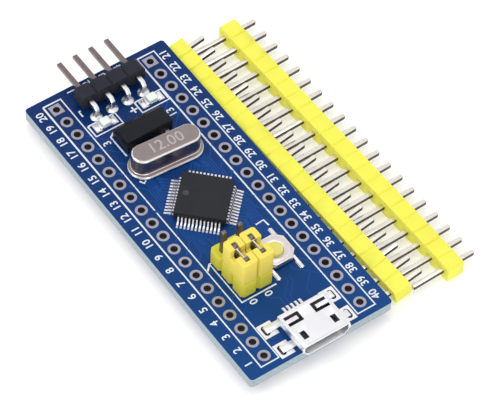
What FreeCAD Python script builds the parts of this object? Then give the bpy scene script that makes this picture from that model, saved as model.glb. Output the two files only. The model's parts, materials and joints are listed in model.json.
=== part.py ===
"""A microcontroller dev board with two loose pin header strips, as a parametric FreeCAD document.

Millimetres. +X runs along the board towards its USB receptacle, +Y across it towards the loose strips
and +Z up. The origin is the centre of the two hole rows, on the laminate's underside.
"""
import FreeCAD, Part

import os
import re

import Sketcher

SIZES = {
    "Laminate": {
        "board_length": 53.0,
        "board_width": 22.5,
        "board_thickness": 1.6,
        "board_corner": 0.5,
    },
    "Copper and plated holes": {
        "copper": 0.035,
        "plating": 0.05,
        "hole_radius": 0.5,
        "ring_radius": 0.87,
        "square_land": 1.72,
        "pitch": 2.54,
        "row_pins": 20,
        "row_spacing": 15.24,
    },
    "Header pins": {
        "pin_size": 0.64,
        "pin_point": 0.17,
        "tail_length": 1.7,
        "joint_radius": 0.8,
        "joint_neck": 0.46,
        "joint_height": 0.94,
        "seat_gap": 0.06,
        "unit_bevel": 0.42,
    },
    "Debug header": {
        "swd_pins": 4,
        "swd_inset": 6.3,
        "swd_body_gap": 1.4,
        "swd_body_depth": 2.2,
        "swd_body_lift": 0.55,
        "swd_reach": 5.6,
        "swd_bend": 0.5,
    },
    "Boot header and its jumper caps": {
        "boot_columns": 3,
        "boot_rows": 2,
        "boot_x": 11.56,
        "boot_y": -2.36,
        "boot_pin_rise": 6.7,
        "cap_length": 4.9,
        "cap_width": 2.44,
        "cap_height": 4.0,
        "cap_corner": 0.45,
        "cap_slot_length": 3.5,
        "cap_slot_width": 0.74,
        "cap_notch_width": 1.25,
        "cap_notch_depth": 1.45,
        "clip_gap": 0.03,
        "clip_room": 0.02,
        "clip_sheet": 0.14,
        "clip_height": 3.2,
        "clip_drop": 0.35,
    },
    "Quad flat chip": {
        "mcu_inset": 26.15,
        "mcu_y": 0.0,
        "mcu_angle": 45,
        "mcu_side": 7.0,
        "mcu_height": 1.4,
        "mcu_bevel": 0.18,
        "mcu_standoff": 0.1,
        "mcu_side_leads": 12,
        "mcu_lead_pitch": 0.5,
        "mcu_lead_width": 0.22,
        "mcu_lead_sheet": 0.14,
        "mcu_lead_span": 9.0,
        "mcu_lead_foot": 0.6,
        "mcu_lead_root": 0.35,
        "mcu_land_length": 1.45,
        "mcu_land_over": 0.38,
        "mcu_land_width": 0.27,
        "paddle_side": 4.0,
        "paddle_sheet": 0.14,
        "die_side": 3.2,
        "die_height": 0.28,
        "dimple_radius": 0.45,
        "dimple_depth": 0.06,
        "dimple_inset": 1.05,
    },
    "Main crystal": {
        "crystal_inset": 17.2,
        "crystal_y": 0.0,
        "crystal_angle": -4,
        "crystal_lift": 0.1,
        "flange_length": 11.1,
        "flange_width": 4.5,
        "base_sheet": 0.25,
        "can_sheet": 0.25,
        "can_length": 10.2,
        "can_width": 3.3,
        "crystal_height": 3.3,
        "can_edge": 0.35,
        "crystal_lead_pitch": 4.88,
        "crystal_lead_radius": 0.215,
        "glass_radius": 0.6,
        "crystal_lead_rise": 1.0,
        "clip_length": 0.6,
        "clip_breadth": 1.4,
        "crystal_clip_height": 0.5,
        "blank_length": 7.4,
        "blank_width": 1.9,
        "blank_thickness": 0.14,
    },
    "Clock crystal": {
        "rtc_inset": 12.13,
        "rtc_y": -0.25,
        "rtc_width": 3.65,
        "rtc_length": 7.2,
        "rtc_height": 2.2,
        "rtc_bevel": 0.9,
        "rtc_edge": 0.15,
        "rtc_terminal_sheet": 0.2,
        "rtc_terminal_width": 0.6,
        "rtc_terminal_pitch": 5.3,
        "rtc_terminal_under": 0.5,
        "rtc_terminal_rise": 0.7,
        "rtc_land_length": 1.3,
        "rtc_land_width": 0.9,
        "rtc_tube_radius": 0.75,
        "rtc_tube_length": 6.0,
    },
    "LEDs": {
        "led_inset": 8.0,
        "near_led_y": -3.5,
        "far_led_y": 4.0,
        "led_length": 2.0,
        "led_width": 1.25,
        "led_base_height": 0.3,
        "led_end": 0.38,
        "led_lens_length": 1.3,
        "led_lens_height": 0.5,
        "led_chip_side": 0.32,
        "led_chip_height": 0.12,
        "led_land_length": 1.0,
        "led_land_span": 3.5,
        "led_land_width": 1.4,
    },
    "Reset switch": {
        "reset_x": 11.75,
        "reset_y": 2.85,
        "reset_side": 4.3,
        "reset_corner": 0.95,
        "reset_sheet": 0.12,
        "reset_height": 1.05,
        "reset_skirt": 0.3,
        "rim_width": 0.24,
        "groove_width": 0.17,
        "groove_depth": 0.07,
        "reset_floor": 0.24,
        "reset_cup_radius": 1.7,
        "plunger_radius": 1.1,
        "plunger_gap": 0.1,
        "plunger_rise": 0.42,
        "plunger_flange": 0.22,
        "plunger_foot_radius": 0.45,
        "plunger_slack": 0.02,
        "dome_radius": 1.55,
        "dome_rise": 0.22,
        "dome_sheet": 0.05,
        "rim_arm_x": 1.16,
        "ridge_radius": 1.55,
        "ridge_width": 0.2,
        "ridge_height": 0.07,
        "leg_width": 0.44,
        "leg_sheet": 0.12,
        "leg_arm_length": 0.93,
        "leg_offset": 1.85,
        "leg_level": 0.12,
        "leg_reach": 3.6,
        "leg_foot": 0.9,
        "leg_land_length": 1.3,
        "leg_land_width": 0.62,
    },
    "USB receptacle": {
        "usb_inset": 5.2,
        "usb_length": 5.95,
        "usb_width": 7.3,
        "usb_height": 2.2,
        "usb_sheet": 0.22,
        "usb_lift": 0.05,
        "usb_side_drop": 1.15,
        "usb_bottom_width": 5.7,
        "usb_lip": 0.3,
        "usb_lip_inset": 0.66,
        "usb_tab_pitch": 3.6,
        "usb_tab_offset": -0.15,
        "usb_tab_width": 1.1,
        "usb_tab_y": 5.25,
        "usb_tab_depth": 1.3,
        "usb_slot_length": 1.6,
        "usb_slot_width": 0.8,
        "usb_solder_height": 0.55,
        "usb_land_length": 2.3,
        "usb_foot_reach": 0.85,
        "usb_foot_width": 0.7,
        "usb_foot_y": 2.4,
        "usb_land_inner": 3.85,
        "usb_land_outer": 6.0,
        "latch_offset": 0.65,
        "latch_length": 1.6,
        "latch_inner": 0.95,
        "latch_outer": 3.2,
        "latch_slot": 0.5,
        "window_offset": 3.6,
        "window_length": 1.3,
        "window_inner": 2.0,
        "window_width": 0.8,
        "tongue_block": 1.6,
        "tongue_width": 5.0,
        "tongue_sheet": 0.6,
        "tongue_level": 1.2,
        "tongue_inset": 0.9,
        "usb_contacts_count": 5,
        "usb_contact_pitch": 0.65,
        "usb_contact_width": 0.3,
        "usb_land_width": 0.36,
        "usb_contact_sheet": 0.13,
        "usb_contact_foot": 1.35,
        "usb_contact_front": 0.5,
        "usb_block_gap": 0.4,
    },
    "Underside parts": {
        "regulator_x": 17.4,
        "regulator_y": -0.6,
        "regulator_length": 2.9,
        "regulator_width": 1.6,
        "regulator_height": 1.0,
        "regulator_standoff": 0.08,
        "regulator_lead_pitch": 0.95,
        "regulator_lead_width": 0.4,
        "regulator_lead_sheet": 0.13,
        "regulator_span": 2.8,
        "regulator_lead_foot": 0.4,
        "chip_length": 1.6,
        "chip_width": 0.8,
        "chip_end": 0.3,
        "chip_land_over": 0.35,
        "chip_land_width": 0.88,
        "capacitor_height": 0.8,
        "resistor_height": 0.45,
        "chip_columns": 6,
        "chip_pitch": 2.1,
        "chip_first_x": -5.6,
        "capacitor_row": 4.3,
        "resistor_row": 1.5,
    },
    "Loose header strips": {
        "bar_size": 2.54,
        "strip_bevel": 0.2,
        "long_pin": 5.0,
        "short_pin": 2.7,
        "strip_angle": 1.4,
        "near_strip_x": -0.2,
        "strip_gap": 0.055,
        "strip_distance": 7.92,
        "strip_stagger": 1.12,
    },
}

# Sizes that follow from others: pieces at a board end keep to it, and the near strip lies beside the board.
DERIVED = {
    "swd_hole_x": "swd_inset - board_length / 2",
    "led_x": "led_inset - board_length / 2",
    "rtc_x": "rtc_inset - board_length / 2",
    "crystal_x": "crystal_inset - board_length / 2",
    "mcu_x": "mcu_inset - board_length / 2",
    "usb_rear": "board_length / 2 - usb_inset",
    "usb_tab_x": "usb_rear + usb_tab_offset",
    "latch_rear": "usb_rear + latch_offset",
    "window_rear": "usb_rear + window_offset",
    "strip_lean": "atan((bar_size - pin_size) / 2 / long_pin)",
    "bar_reach": "bar_size / 2 * (cos(strip_lean) + sin(strip_lean))",
    "bar_swing": "row_pins * pitch / 2 * sin(strip_angle)",
    "near_strip_y": "board_width / 2 + strip_gap + bar_reach * cos(strip_angle) + bar_swing",
}

# Expressions that several pieces share. Heights are above the laminate's underside.
TOP = "board_thickness"
LAND_TOP = f"{TOP} + copper"
TABLE = "-tail_length"
HOLE_WALL = "hole_radius + plating"
CRYSTAL_SEAT = f"{TOP} + crystal_lift"
CRYSTAL_BASE_TOP = f"{CRYSTAL_SEAT} + base_sheet"
BOOT_SEAT = f"{LAND_TOP} + seat_gap"
CAP_SEAT = f"{BOOT_SEAT} + bar_size + seat_gap"
MCU_SEAT = f"{LAND_TOP} + mcu_standoff"
USB_FRONT = "usb_rear + usb_length"
USB_ROOF = f"{TOP} + usb_height - usb_sheet"

doc = FreeCAD.newDocument("dev_board")
sheet = doc.addObject("Spreadsheet::Sheet", "Sizes")
parts = {}


# ---------------------------------------------------------------- document helpers
def fill_sheet():
    """Write every size into the spreadsheet under its alias."""
    row = 1
    for group, sizes in SIZES.items():
        sheet.set(f"A{row}", group)
        row += 1
        for alias, size in sizes.items():
            sheet.set(f"A{row}", alias)
            sheet.set(f"B{row}", str(size))
            sheet.setAlias(f"B{row}", alias)
            row += 1
    doc.recompute()


def linked(expression):
    """Put derived sizes in place and point each alias in an expression at the spreadsheet."""

    def target(match):
        name = match.group(1)
        return f"({linked(DERIVED[name])})" if name in DERIVED else f"Sizes.{name}"

    return re.sub(r"\b([a-z][a-z_]+)\b(?!\s*\()", target, str(expression))


def size(expression):
    """The value of an expression now."""
    value = sheet.evalExpression(linked(expression))
    return float(getattr(value, "Value", value))


def bind(item, prop, expression):
    item.setExpression(prop, linked(expression))


def place(item, x="0", y="0", z="0", angle=None):
    """Bind an object's place, and its turn about Z if it has one."""
    if angle is not None:
        turn = FreeCAD.Rotation(FreeCAD.Vector(0, 0, 1), 1)
        item.Placement = FreeCAD.Placement(FreeCAD.Vector(), turn)
        bind(item, "Placement.Rotation.Angle", angle)
    bind(item, "Placement.Base.x", x)
    bind(item, "Placement.Base.y", y)
    bind(item, "Placement.Base.z", z)
    return item


def keep(item, label):
    """Name a finished sub-part."""
    item.Label = label
    parts[label] = item
    return item


# ---------------------------------------------------------------- Part primitives and booleans
def block(name, low, sides):
    """A box from its low corner and its three sides."""
    item = doc.addObject("Part::Box", name)
    for prop, side in zip(("Length", "Width", "Height"), sides):
        bind(item, prop, side)
    return place(item, *low)


def centred_block(name, x, y, z, sides):
    """A box centred at x, y that stands on z."""
    return block(name, (f"{x} - ({sides[0]}) / 2", f"{y} - ({sides[1]}) / 2", z), sides)


def cylinder(name, x, y, z, radius, height):
    item = doc.addObject("Part::Cylinder", name)
    bind(item, "Radius", radius)
    bind(item, "Height", height)
    return place(item, x, y, z)


def cone(name, x, y, z, low_radius, high_radius, height):
    item = doc.addObject("Part::Cone", name)
    bind(item, "Radius1", low_radius)
    bind(item, "Radius2", high_radius)
    bind(item, "Height", height)
    return place(item, x, y, z)


def ball(name, level, radius):
    item = doc.addObject("Part::Sphere", name)
    bind(item, "Radius", radius)
    return place(item, "0", "0", level)


def fuse(name, shapes):
    item = doc.addObject("Part::MultiFuse", name)
    item.Shapes = shapes
    return item


def group(name, shapes):
    item = doc.addObject("Part::Compound", name)
    item.Links = shapes
    return item


def cut(name, base, tools):
    item = doc.addObject("Part::Cut", name)
    item.Base = base
    item.Tool = tools[0] if len(tools) == 1 else group(name + "_tools", tools)
    return item


# ---------------------------------------------------------------- PartDesign bodies and sketches
def new_body(name):
    body = doc.addObject("PartDesign::Body", name)
    body.AllowCompound = True
    return body


def origin_of(body, role):
    return next(f for f in body.Origin.OriginFeatures if f.Role == role)


def sketch_on(body, role="XY_Plane", level="0"):
    """A sketch parallel to one of the body's origin planes."""
    sketch = body.newObject("Sketcher::SketchObject", body.Name + "_sketch")
    sketch.AttachmentSupport = [(origin_of(body, role), "")]
    sketch.MapMode = "FlatFace"
    bind(sketch, "AttachmentOffset.Base.z", level)
    return sketch


def hold(sketch, kind, target, expression):
    """Add one dimension to a sketch, tied to the spreadsheet."""
    index = sketch.addConstraint(Sketcher.Constraint(kind, *target, size(expression)))
    sketch.setExpression(f"Constraints[{index}]", linked(expression))


def polygon(sketch, corners):
    """A closed outline through corners given as pairs of expressions."""
    points = [FreeCAD.Vector(size(x), size(y), 0) for x, y in corners]
    first = sketch.GeometryCount
    count = len(points)
    for i, point in enumerate(points):
        sketch.addGeometry(Part.LineSegment(point, points[(i + 1) % count]), False)
    for i, (x, y) in enumerate(corners):
        line, following = first + i, first + (i + 1) % count
        sketch.addConstraint(Sketcher.Constraint("Coincident", line, 2, following, 1))
        hold(sketch, "DistanceX", (-1, 1, line, 1), x)
        hold(sketch, "DistanceY", (-1, 1, line, 1), y)
    return sketch


def rectangle(sketch, x, y, length, width):
    """A rectangle by its centre and sides."""
    low_x, high_x = f"{x} - ({length}) / 2", f"{x} + ({length}) / 2"
    low_y, high_y = f"{y} - ({width}) / 2", f"{y} + ({width}) / 2"
    return polygon(sketch, [(low_x, low_y), (high_x, low_y), (high_x, high_y), (low_x, high_y)])


def circle(sketch, x, y, radius):
    centre = FreeCAD.Vector(size(x), size(y), 0)
    shape = Part.Circle(centre, FreeCAD.Vector(0, 0, 1), size(radius))
    index = sketch.addGeometry(shape, False)
    hold(sketch, "Radius", (index,), radius)
    hold(sketch, "DistanceX", (-1, 1, index, 3), x)
    hold(sketch, "DistanceY", (-1, 1, index, 3), y)
    return sketch


def stadium(sketch, length, width, x="0", y="0", across=False):
    """A straight-sided outline with round ends, along X, or along Y if it lies across."""
    radius, reach = size(width) / 2, (size(length) - size(width)) / 2
    centre = FreeCAD.Vector(size(x), size(y), 0)
    run = FreeCAD.Vector(0, 1, 0) if across else FreeCAD.Vector(1, 0, 0)
    side = FreeCAD.Vector(-run.y, run.x, 0)
    ends = [centre + run * reach, centre - run * reach]
    first = sketch.GeometryCount
    for sign, end in zip((1, -1), ends):
        start, middle = end - side * radius * sign, end + run * radius * sign
        stop = end + side * radius * sign
        sketch.addGeometry(Part.Arc(start, middle, stop), False)
    sketch.addGeometry(Part.LineSegment(ends[0] + side * radius, ends[1] + side * radius), False)
    sketch.addGeometry(Part.LineSegment(ends[1] - side * radius, ends[0] - side * radius), False)
    for arc, line, arc_end, line_end in ((0, 2, 2, 1), (1, 2, 1, 2), (1, 3, 2, 1), (0, 3, 1, 2)):
        tangent = Sketcher.Constraint("Tangent", first + arc, arc_end, first + line, line_end)
        sketch.addConstraint(tangent)
    hold(sketch, "Radius", (first,), f"({width}) / 2")
    half = f"(({length}) - ({width})) / 2"
    for index, sign in ((first, "+"), (first + 1, "-")):
        hold(sketch, "DistanceX", (-1, 1, index, 3), x if across else f"{x} {sign} {half}")
        hold(sketch, "DistanceY", (-1, 1, index, 3), f"{y} {sign} {half}" if across else y)
    return sketch


def pad(body, sketch, length, symmetric=False, reverse=False):
    feature = body.newObject("PartDesign::Pad", body.Name + "_pad")
    feature.Profile = sketch
    bind(feature, "Length", length)
    feature.SideType = "Symmetric" if symmetric else "One side"
    feature.Reversed = reverse
    return feature


def pocket(body, sketch, length, reverse=True):
    """A pocket that goes up from its sketch, or down if it isn't reversed."""
    feature = body.newObject("PartDesign::Pocket", body.Name + "_pocket")
    feature.Profile = sketch
    bind(feature, "Length", length)
    feature.Reversed = reverse
    return feature


def revolve(body, sketch):
    """A full turn of a sketch on the XZ plane about Z."""
    feature = body.newObject("PartDesign::Revolution", body.Name + "_turn")
    feature.Profile = sketch
    feature.ReferenceAxis = (origin_of(body, "Z_Axis"), [""])
    feature.Angle = 360
    return feature


def repeat(body, features, count, step, axis="X_Axis", rows=None, row_step=None):
    """Repeat features along an axis, and along Y too when rows are given."""
    feature = body.newObject("PartDesign::LinearPattern", body.Name + "_row")
    feature.Originals = features
    feature.Direction = (origin_of(body, axis), [""])
    bind(feature, "Occurrences", count)
    bind(feature, "Length", f"({step}) * (({count}) - 1)")
    if rows is not None:
        feature.Direction2 = (origin_of(body, "Y_Axis"), [""])
        bind(feature, "Occurrences2", rows)
        bind(feature, "Length2", f"({row_step}) * (({rows}) - 1)")
    body.Tip = feature
    return feature


def around(body, features, count, step, turns):
    """Repeat features in a line along Y, then turn the line about Z."""
    both = body.newObject("PartDesign::MultiTransform", body.Name + "_sides")
    both.Originals = features
    line = body.newObject("PartDesign::LinearPattern", body.Name + "_line")
    line.Direction = (origin_of(body, "Y_Axis"), [""])
    bind(line, "Occurrences", count)
    bind(line, "Length", f"({step}) * (({count}) - 1)")
    ring = body.newObject("PartDesign::PolarPattern", body.Name + "_ring")
    ring.Axis = (origin_of(body, "Z_Axis"), [""])
    ring.Occurrences = turns
    ring.Angle = 360
    both.Transformations = [line, ring]
    body.Tip = both
    return both


def dress(body, kind, base, amount, wanted):
    """Fillet or chamfer the edges of a feature for which wanted(edge) holds."""
    doc.recompute()
    names = [f"Edge{i + 1}" for i, edge in enumerate(base.Shape.Edges) if wanted(edge)]
    feature = body.newObject("PartDesign::" + kind, body.Name + "_" + kind.lower())
    feature.Base = (base, names)
    bind(feature, "Radius" if kind == "Fillet" else "Size", amount)
    return feature


def upright(edge):
    """Whether an edge is straight and runs along Z."""
    box = edge.BoundBox
    return box.XLength < 1e-6 and box.YLength < 1e-6


def octagon(sketch, side, corner):
    """A square outline about the origin with its corners cut off."""
    half, short = f"({side}) / 2", f"(({side}) / 2 - ({corner}))"
    corners = [(half, f"-{short}"), (half, short), (short, half), (f"-{short}", half)]
    corners += [(f"-{half}", short), (f"-{half}", f"-{short}")]
    corners += [(f"-{short}", f"-{half}"), (short, f"-{half}")]
    return polygon(sketch, corners)


# ---------------------------------------------------------------- laminate and copper
FIRST_X = "-pitch * (row_pins - 1) / 2"
SWD_Y = "-pitch * (swd_pins - 1) / 2"
BOOT_FIRST_X = "boot_x - pitch * (boot_columns - 1) / 2"
BOOT_FIRST_Y = "boot_y - pitch * (boot_rows - 1) / 2"


def crystal_lead_places():
    """The two crystal leads' centres, turned with the crystal."""
    half = "crystal_lead_pitch / 2"
    across, along = f"{half} * sin(crystal_angle)", f"{half} * cos(crystal_angle)"
    return [
        (f"crystal_x - {across}", f"crystal_y + {along}"),
        (f"crystal_x + {across}", f"crystal_y - {along}"),
    ]


def make_laminate():
    body = new_body("pcb_laminate")
    slab = pad(body, rectangle(sketch_on(body), "0", "0", "board_length", "board_width"), TOP)
    dress(body, "Fillet", slab, "board_corner", upright)
    rows = pocket(body, circle(sketch_on(body), FIRST_X, "-row_spacing / 2", HOLE_WALL), TOP)
    repeat(body, [rows], "row_pins", "pitch", rows="2", row_step="row_spacing")
    swd = pocket(body, circle(sketch_on(body), "swd_hole_x", SWD_Y, HOLE_WALL), TOP)
    repeat(body, [swd], "swd_pins", "pitch", axis="Y_Axis")
    boot = pocket(body, circle(sketch_on(body), BOOT_FIRST_X, BOOT_FIRST_Y, HOLE_WALL), TOP)
    repeat(body, [boot], "boot_columns", "pitch", rows="boot_rows", row_step="pitch")
    leads = sketch_on(body)
    for x, y in crystal_lead_places():
        circle(leads, x, y, HOLE_WALL)
    pocket(body, leads, TOP)
    length, width = "usb_slot_length + 2 * plating", "usb_slot_width + 2 * plating"
    slot = pocket(body, stadium(sketch_on(body), length, width, "usb_tab_x", "-usb_tab_y"), TOP)
    repeat(body, [slot], "2", "usb_tab_pitch", rows="2", row_step="2 * usb_tab_y")
    keep(body, "pcb_laminate")


def barrel_profile(sketch, outer):
    """Half section of a plated hole: its wall and the ring on each face."""
    return polygon(
        sketch,
        [
            ("hole_radius", "-copper"),
            (outer, "-copper"),
            (outer, "0"),
            (HOLE_WALL, "0"),
            (HOLE_WALL, TOP),
            (outer, TOP),
            (outer, LAND_TOP),
            ("hole_radius", LAND_TOP),
        ],
    )


def make_row_barrels(label, y):
    """A row of plated holes, the first with square lands."""
    body = new_body(label)
    pad(body, circle(circle(sketch_on(body), "0", "0", HOLE_WALL), "0", "0", "hole_radius"), TOP)
    for level in (TOP, "-copper"):
        land = rectangle(sketch_on(body, level=level), "0", "0", "square_land", "square_land")
        pad(body, circle(land, "0", "0", "hole_radius"), "copper")
    rings = []
    for level in (TOP, "-copper"):
        ring = circle(sketch_on(body, level=level), "pitch", "0", "ring_radius")
        rings.append(pad(body, circle(ring, "pitch", "0", "hole_radius"), "copper"))
    tube = circle(circle(sketch_on(body), "pitch", "0", HOLE_WALL), "pitch", "0", "hole_radius")
    rings.append(pad(body, tube, TOP))
    repeat(body, rings, "row_pins - 1", "pitch")
    keep(place(body, FIRST_X, y), label)


def barrel(name, x, y):
    """One plated hole with round rings."""
    body = new_body(name)
    revolve(body, barrel_profile(sketch_on(body, "XZ_Plane"), "ring_radius"))
    return place(body, x, y)


def part_hole_places():
    """Centres of the plated holes that carry the board's own leaded parts."""
    swd = [("swd_hole_x", f"{SWD_Y} + {i} * pitch") for i in range(int(size("swd_pins")))]
    boot = [
        (f"{BOOT_FIRST_X} + {i} * pitch", f"{BOOT_FIRST_Y} + {j} * pitch")
        for i in range(int(size("boot_columns")))
        for j in range(int(size("boot_rows")))
    ]
    return swd, boot, crystal_lead_places()


def make_part_barrels():
    places = [p for places in part_hole_places() for p in places]
    barrels = [barrel(f"barrel_{i}", x, y) for i, (x, y) in enumerate(places)]
    keep(group("part_barrels", barrels), "part_barrels")


def make_usb_slot_barrels():
    body = new_body("usb_slot_barrels")
    centre = "(usb_land_inner + usb_land_outer) / 2"
    width = "usb_land_outer - usb_land_inner"
    features = []
    for level in (TOP, "-copper"):
        land = rectangle(sketch_on(body, level=level), "usb_tab_x", f"-{centre}", "usb_land_length", width)
        stadium(land, "usb_slot_length", "usb_slot_width", "usb_tab_x", "-usb_tab_y")
        features.append(pad(body, land, "copper"))
    wall = stadium(sketch_on(body), "usb_slot_length", "usb_slot_width", "usb_tab_x", "-usb_tab_y")
    stadium(wall, "usb_slot_length + 2 * plating", "usb_slot_width + 2 * plating", "usb_tab_x", "-usb_tab_y")
    features.append(pad(body, wall, TOP))
    pair = body.newObject("PartDesign::MultiTransform", "usb_slot_set")
    pair.Originals = features
    line = body.newObject("PartDesign::LinearPattern", "usb_slot_line")
    line.Direction = (origin_of(body, "X_Axis"), [""])
    line.Occurrences = 2
    bind(line, "Length", "usb_tab_pitch")
    other = body.newObject("PartDesign::Mirrored", "usb_slot_mirror")
    other.MirrorPlane = (origin_of(body, "XZ_Plane"), [""])
    pair.Transformations = [line, other]
    body.Tip = pair
    keep(body, "usb_slot_barrels")


def make_top_lands():
    """Lands of the small parts on the top face, apart from the chip's."""
    body = new_body("top_lands")
    sketch = sketch_on(body, level=TOP)
    for y in ("near_led_y", "far_led_y"):
        for sign in "-+":
            centre = f"{y} {sign} (led_land_span - led_land_length) / 2"
            rectangle(sketch, "led_x", centre, "led_land_width", "led_land_length")
    for side in "-+":
        x = f"rtc_x {side} rtc_width / 2"
        for end in "-+":
            y = f"rtc_y {end} rtc_terminal_pitch / 2"
            rectangle(sketch, x, y, "rtc_land_length", "rtc_land_width")
    for side in "-+":
        x = f"reset_x {side} (leg_reach + leg_sheet - leg_land_length / 2)"
        for end in "-+":
            y = f"reset_y {end} leg_offset"
            rectangle(sketch, x, y, "leg_land_length", "leg_land_width")
    feet = sketch_on(body, level=TOP)
    rectangle(feet, "usb_rear - usb_block_gap - usb_contact_foot / 2",
              "-usb_contact_pitch * (usb_contacts_count - 1) / 2", "usb_contact_foot + usb_block_gap",
              "usb_land_width")
    pad(body, sketch, "copper")
    foot = pad(body, feet, "copper")
    repeat(body, [foot], "usb_contacts_count", "usb_contact_pitch", axis="Y_Axis")
    keep(body, "top_lands")


def make_mcu_lands():
    body = new_body("mcu_lands")
    outer = "mcu_lead_span / 2 + mcu_land_over"
    sketch = sketch_on(body, level=TOP)
    rectangle(sketch, f"({outer} - mcu_land_length / 2)", "-mcu_lead_pitch * (mcu_side_leads - 1) / 2",
              "mcu_land_length", "mcu_land_width")
    around(body, [pad(body, sketch, "copper")], "mcu_side_leads", "mcu_lead_pitch", 4)
    keep(place(body, "mcu_x", "mcu_y", "0", "mcu_angle"), "mcu_lands")


def chip_row(body, sketch, depth, row):
    """Two rows of underside chip pieces, mirrored about the board's centre line."""
    piece = pad(body, sketch, depth, reverse=True)
    return repeat(body, [piece], "chip_columns", "chip_pitch", rows="2", row_step=f"2 * {row}")


def chip_ends(sketch, row, width, over):
    """Both end rectangles of a chip that lies across the board, each reaching over its end."""
    for sign in "-+":
        y = f"-{row} {sign} (chip_length + {over} - chip_end) / 2"
        rectangle(sketch, "chip_first_x", y, width, f"chip_end + {over}")
    return sketch


def make_bottom_lands():
    body = new_body("bottom_lands")
    for row in ("capacitor_row", "resistor_row"):
        sketch = chip_ends(sketch_on(body), row, "chip_land_width", "chip_land_over")
        chip_row(body, sketch, "copper", row)
    for side, count in (("-", "3"), ("+", "2")):
        sketch = sketch_on(body)
        x = f"regulator_x {side} (regulator_span / 2 - regulator_lead_foot / 2)"
        y = "regulator_y - regulator_lead_pitch"
        rectangle(sketch, x, y, "2 * regulator_lead_foot", "1.3 * regulator_lead_width")
        land = pad(body, sketch, "copper", reverse=True)
        step = "regulator_lead_pitch" if count == "3" else "2 * regulator_lead_pitch"
        repeat(body, [land], count, step, axis="Y_Axis")
    keep(body, "bottom_lands")


# ---------------------------------------------------------------- quad flat chip
def make_mcu():
    root = "mcu_side / 2 - mcu_lead_root"
    middle = f"{MCU_SEAT} + mcu_height / 2"
    upper, lower = f"{middle} + mcu_lead_sheet / 2", f"{middle} - mcu_lead_sheet / 2"
    foot = f"{LAND_TOP} + mcu_lead_sheet"
    tip = "mcu_lead_span / 2"
    heel = f"{tip} - mcu_lead_foot"
    leads = new_body("mcu_leads")
    profile = polygon(
        sketch_on(leads, "XZ_Plane", "mcu_lead_pitch * (mcu_side_leads - 1) / 2"),
        [
            (root, upper),
            (f"{heel} - mcu_lead_sheet", upper),
            (f"{heel} + mcu_lead_sheet / 2", foot),
            (tip, foot),
            (tip, LAND_TOP),
            (f"{heel} - mcu_lead_sheet / 2", LAND_TOP),
            (f"{heel} - 2 * mcu_lead_sheet", lower),
            (root, lower),
        ],
    )
    lead = pad(leads, profile, "mcu_lead_width", symmetric=True)
    around(leads, [lead], "mcu_side_leads", "mcu_lead_pitch", 4)
    keep(place(leads, "mcu_x", "mcu_y", "0", "mcu_angle"), "mcu_leads")

    paddle = new_body("mcu_paddle")
    plate = rectangle(sketch_on(paddle, level=lower), "0", "0", "paddle_side", "paddle_side")
    pad(paddle, plate, "paddle_sheet")
    keep(place(paddle, "mcu_x", "mcu_y", "0", "mcu_angle"), "mcu_paddle")
    die = new_body("mcu_die")
    chip = rectangle(sketch_on(die, level=f"{lower} + paddle_sheet"), "0", "0", "die_side", "die_side")
    pad(die, chip, "die_height")
    keep(place(die, "mcu_x", "mcu_y", "0", "mcu_angle"), "mcu_die")

    mould = new_body("mcu_mould")
    slab = pad(mould, octagon(sketch_on(mould, level=MCU_SEAT), "mcu_side", "mcu_bevel"), "mcu_height")
    dress(mould, "Chamfer", slab, "mcu_bevel / 2", lambda e: not upright(e))
    dimple = "mcu_side / 2 - dimple_inset"
    face = sketch_on(mould, level=f"{MCU_SEAT} + mcu_height - dimple_depth")
    mark = circle(face, f"-({dimple})", "0", "dimple_radius")
    pocket(mould, mark, "dimple_depth")
    place(mould, "mcu_x", "mcu_y", "0", "mcu_angle")
    keep(cut("mcu_package", mould, [leads, paddle, die]), "mcu_package")


# ---------------------------------------------------------------- crystals
def turned_with_crystal(body):
    return place(body, "crystal_x", "crystal_y", "0", "crystal_angle")


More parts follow.
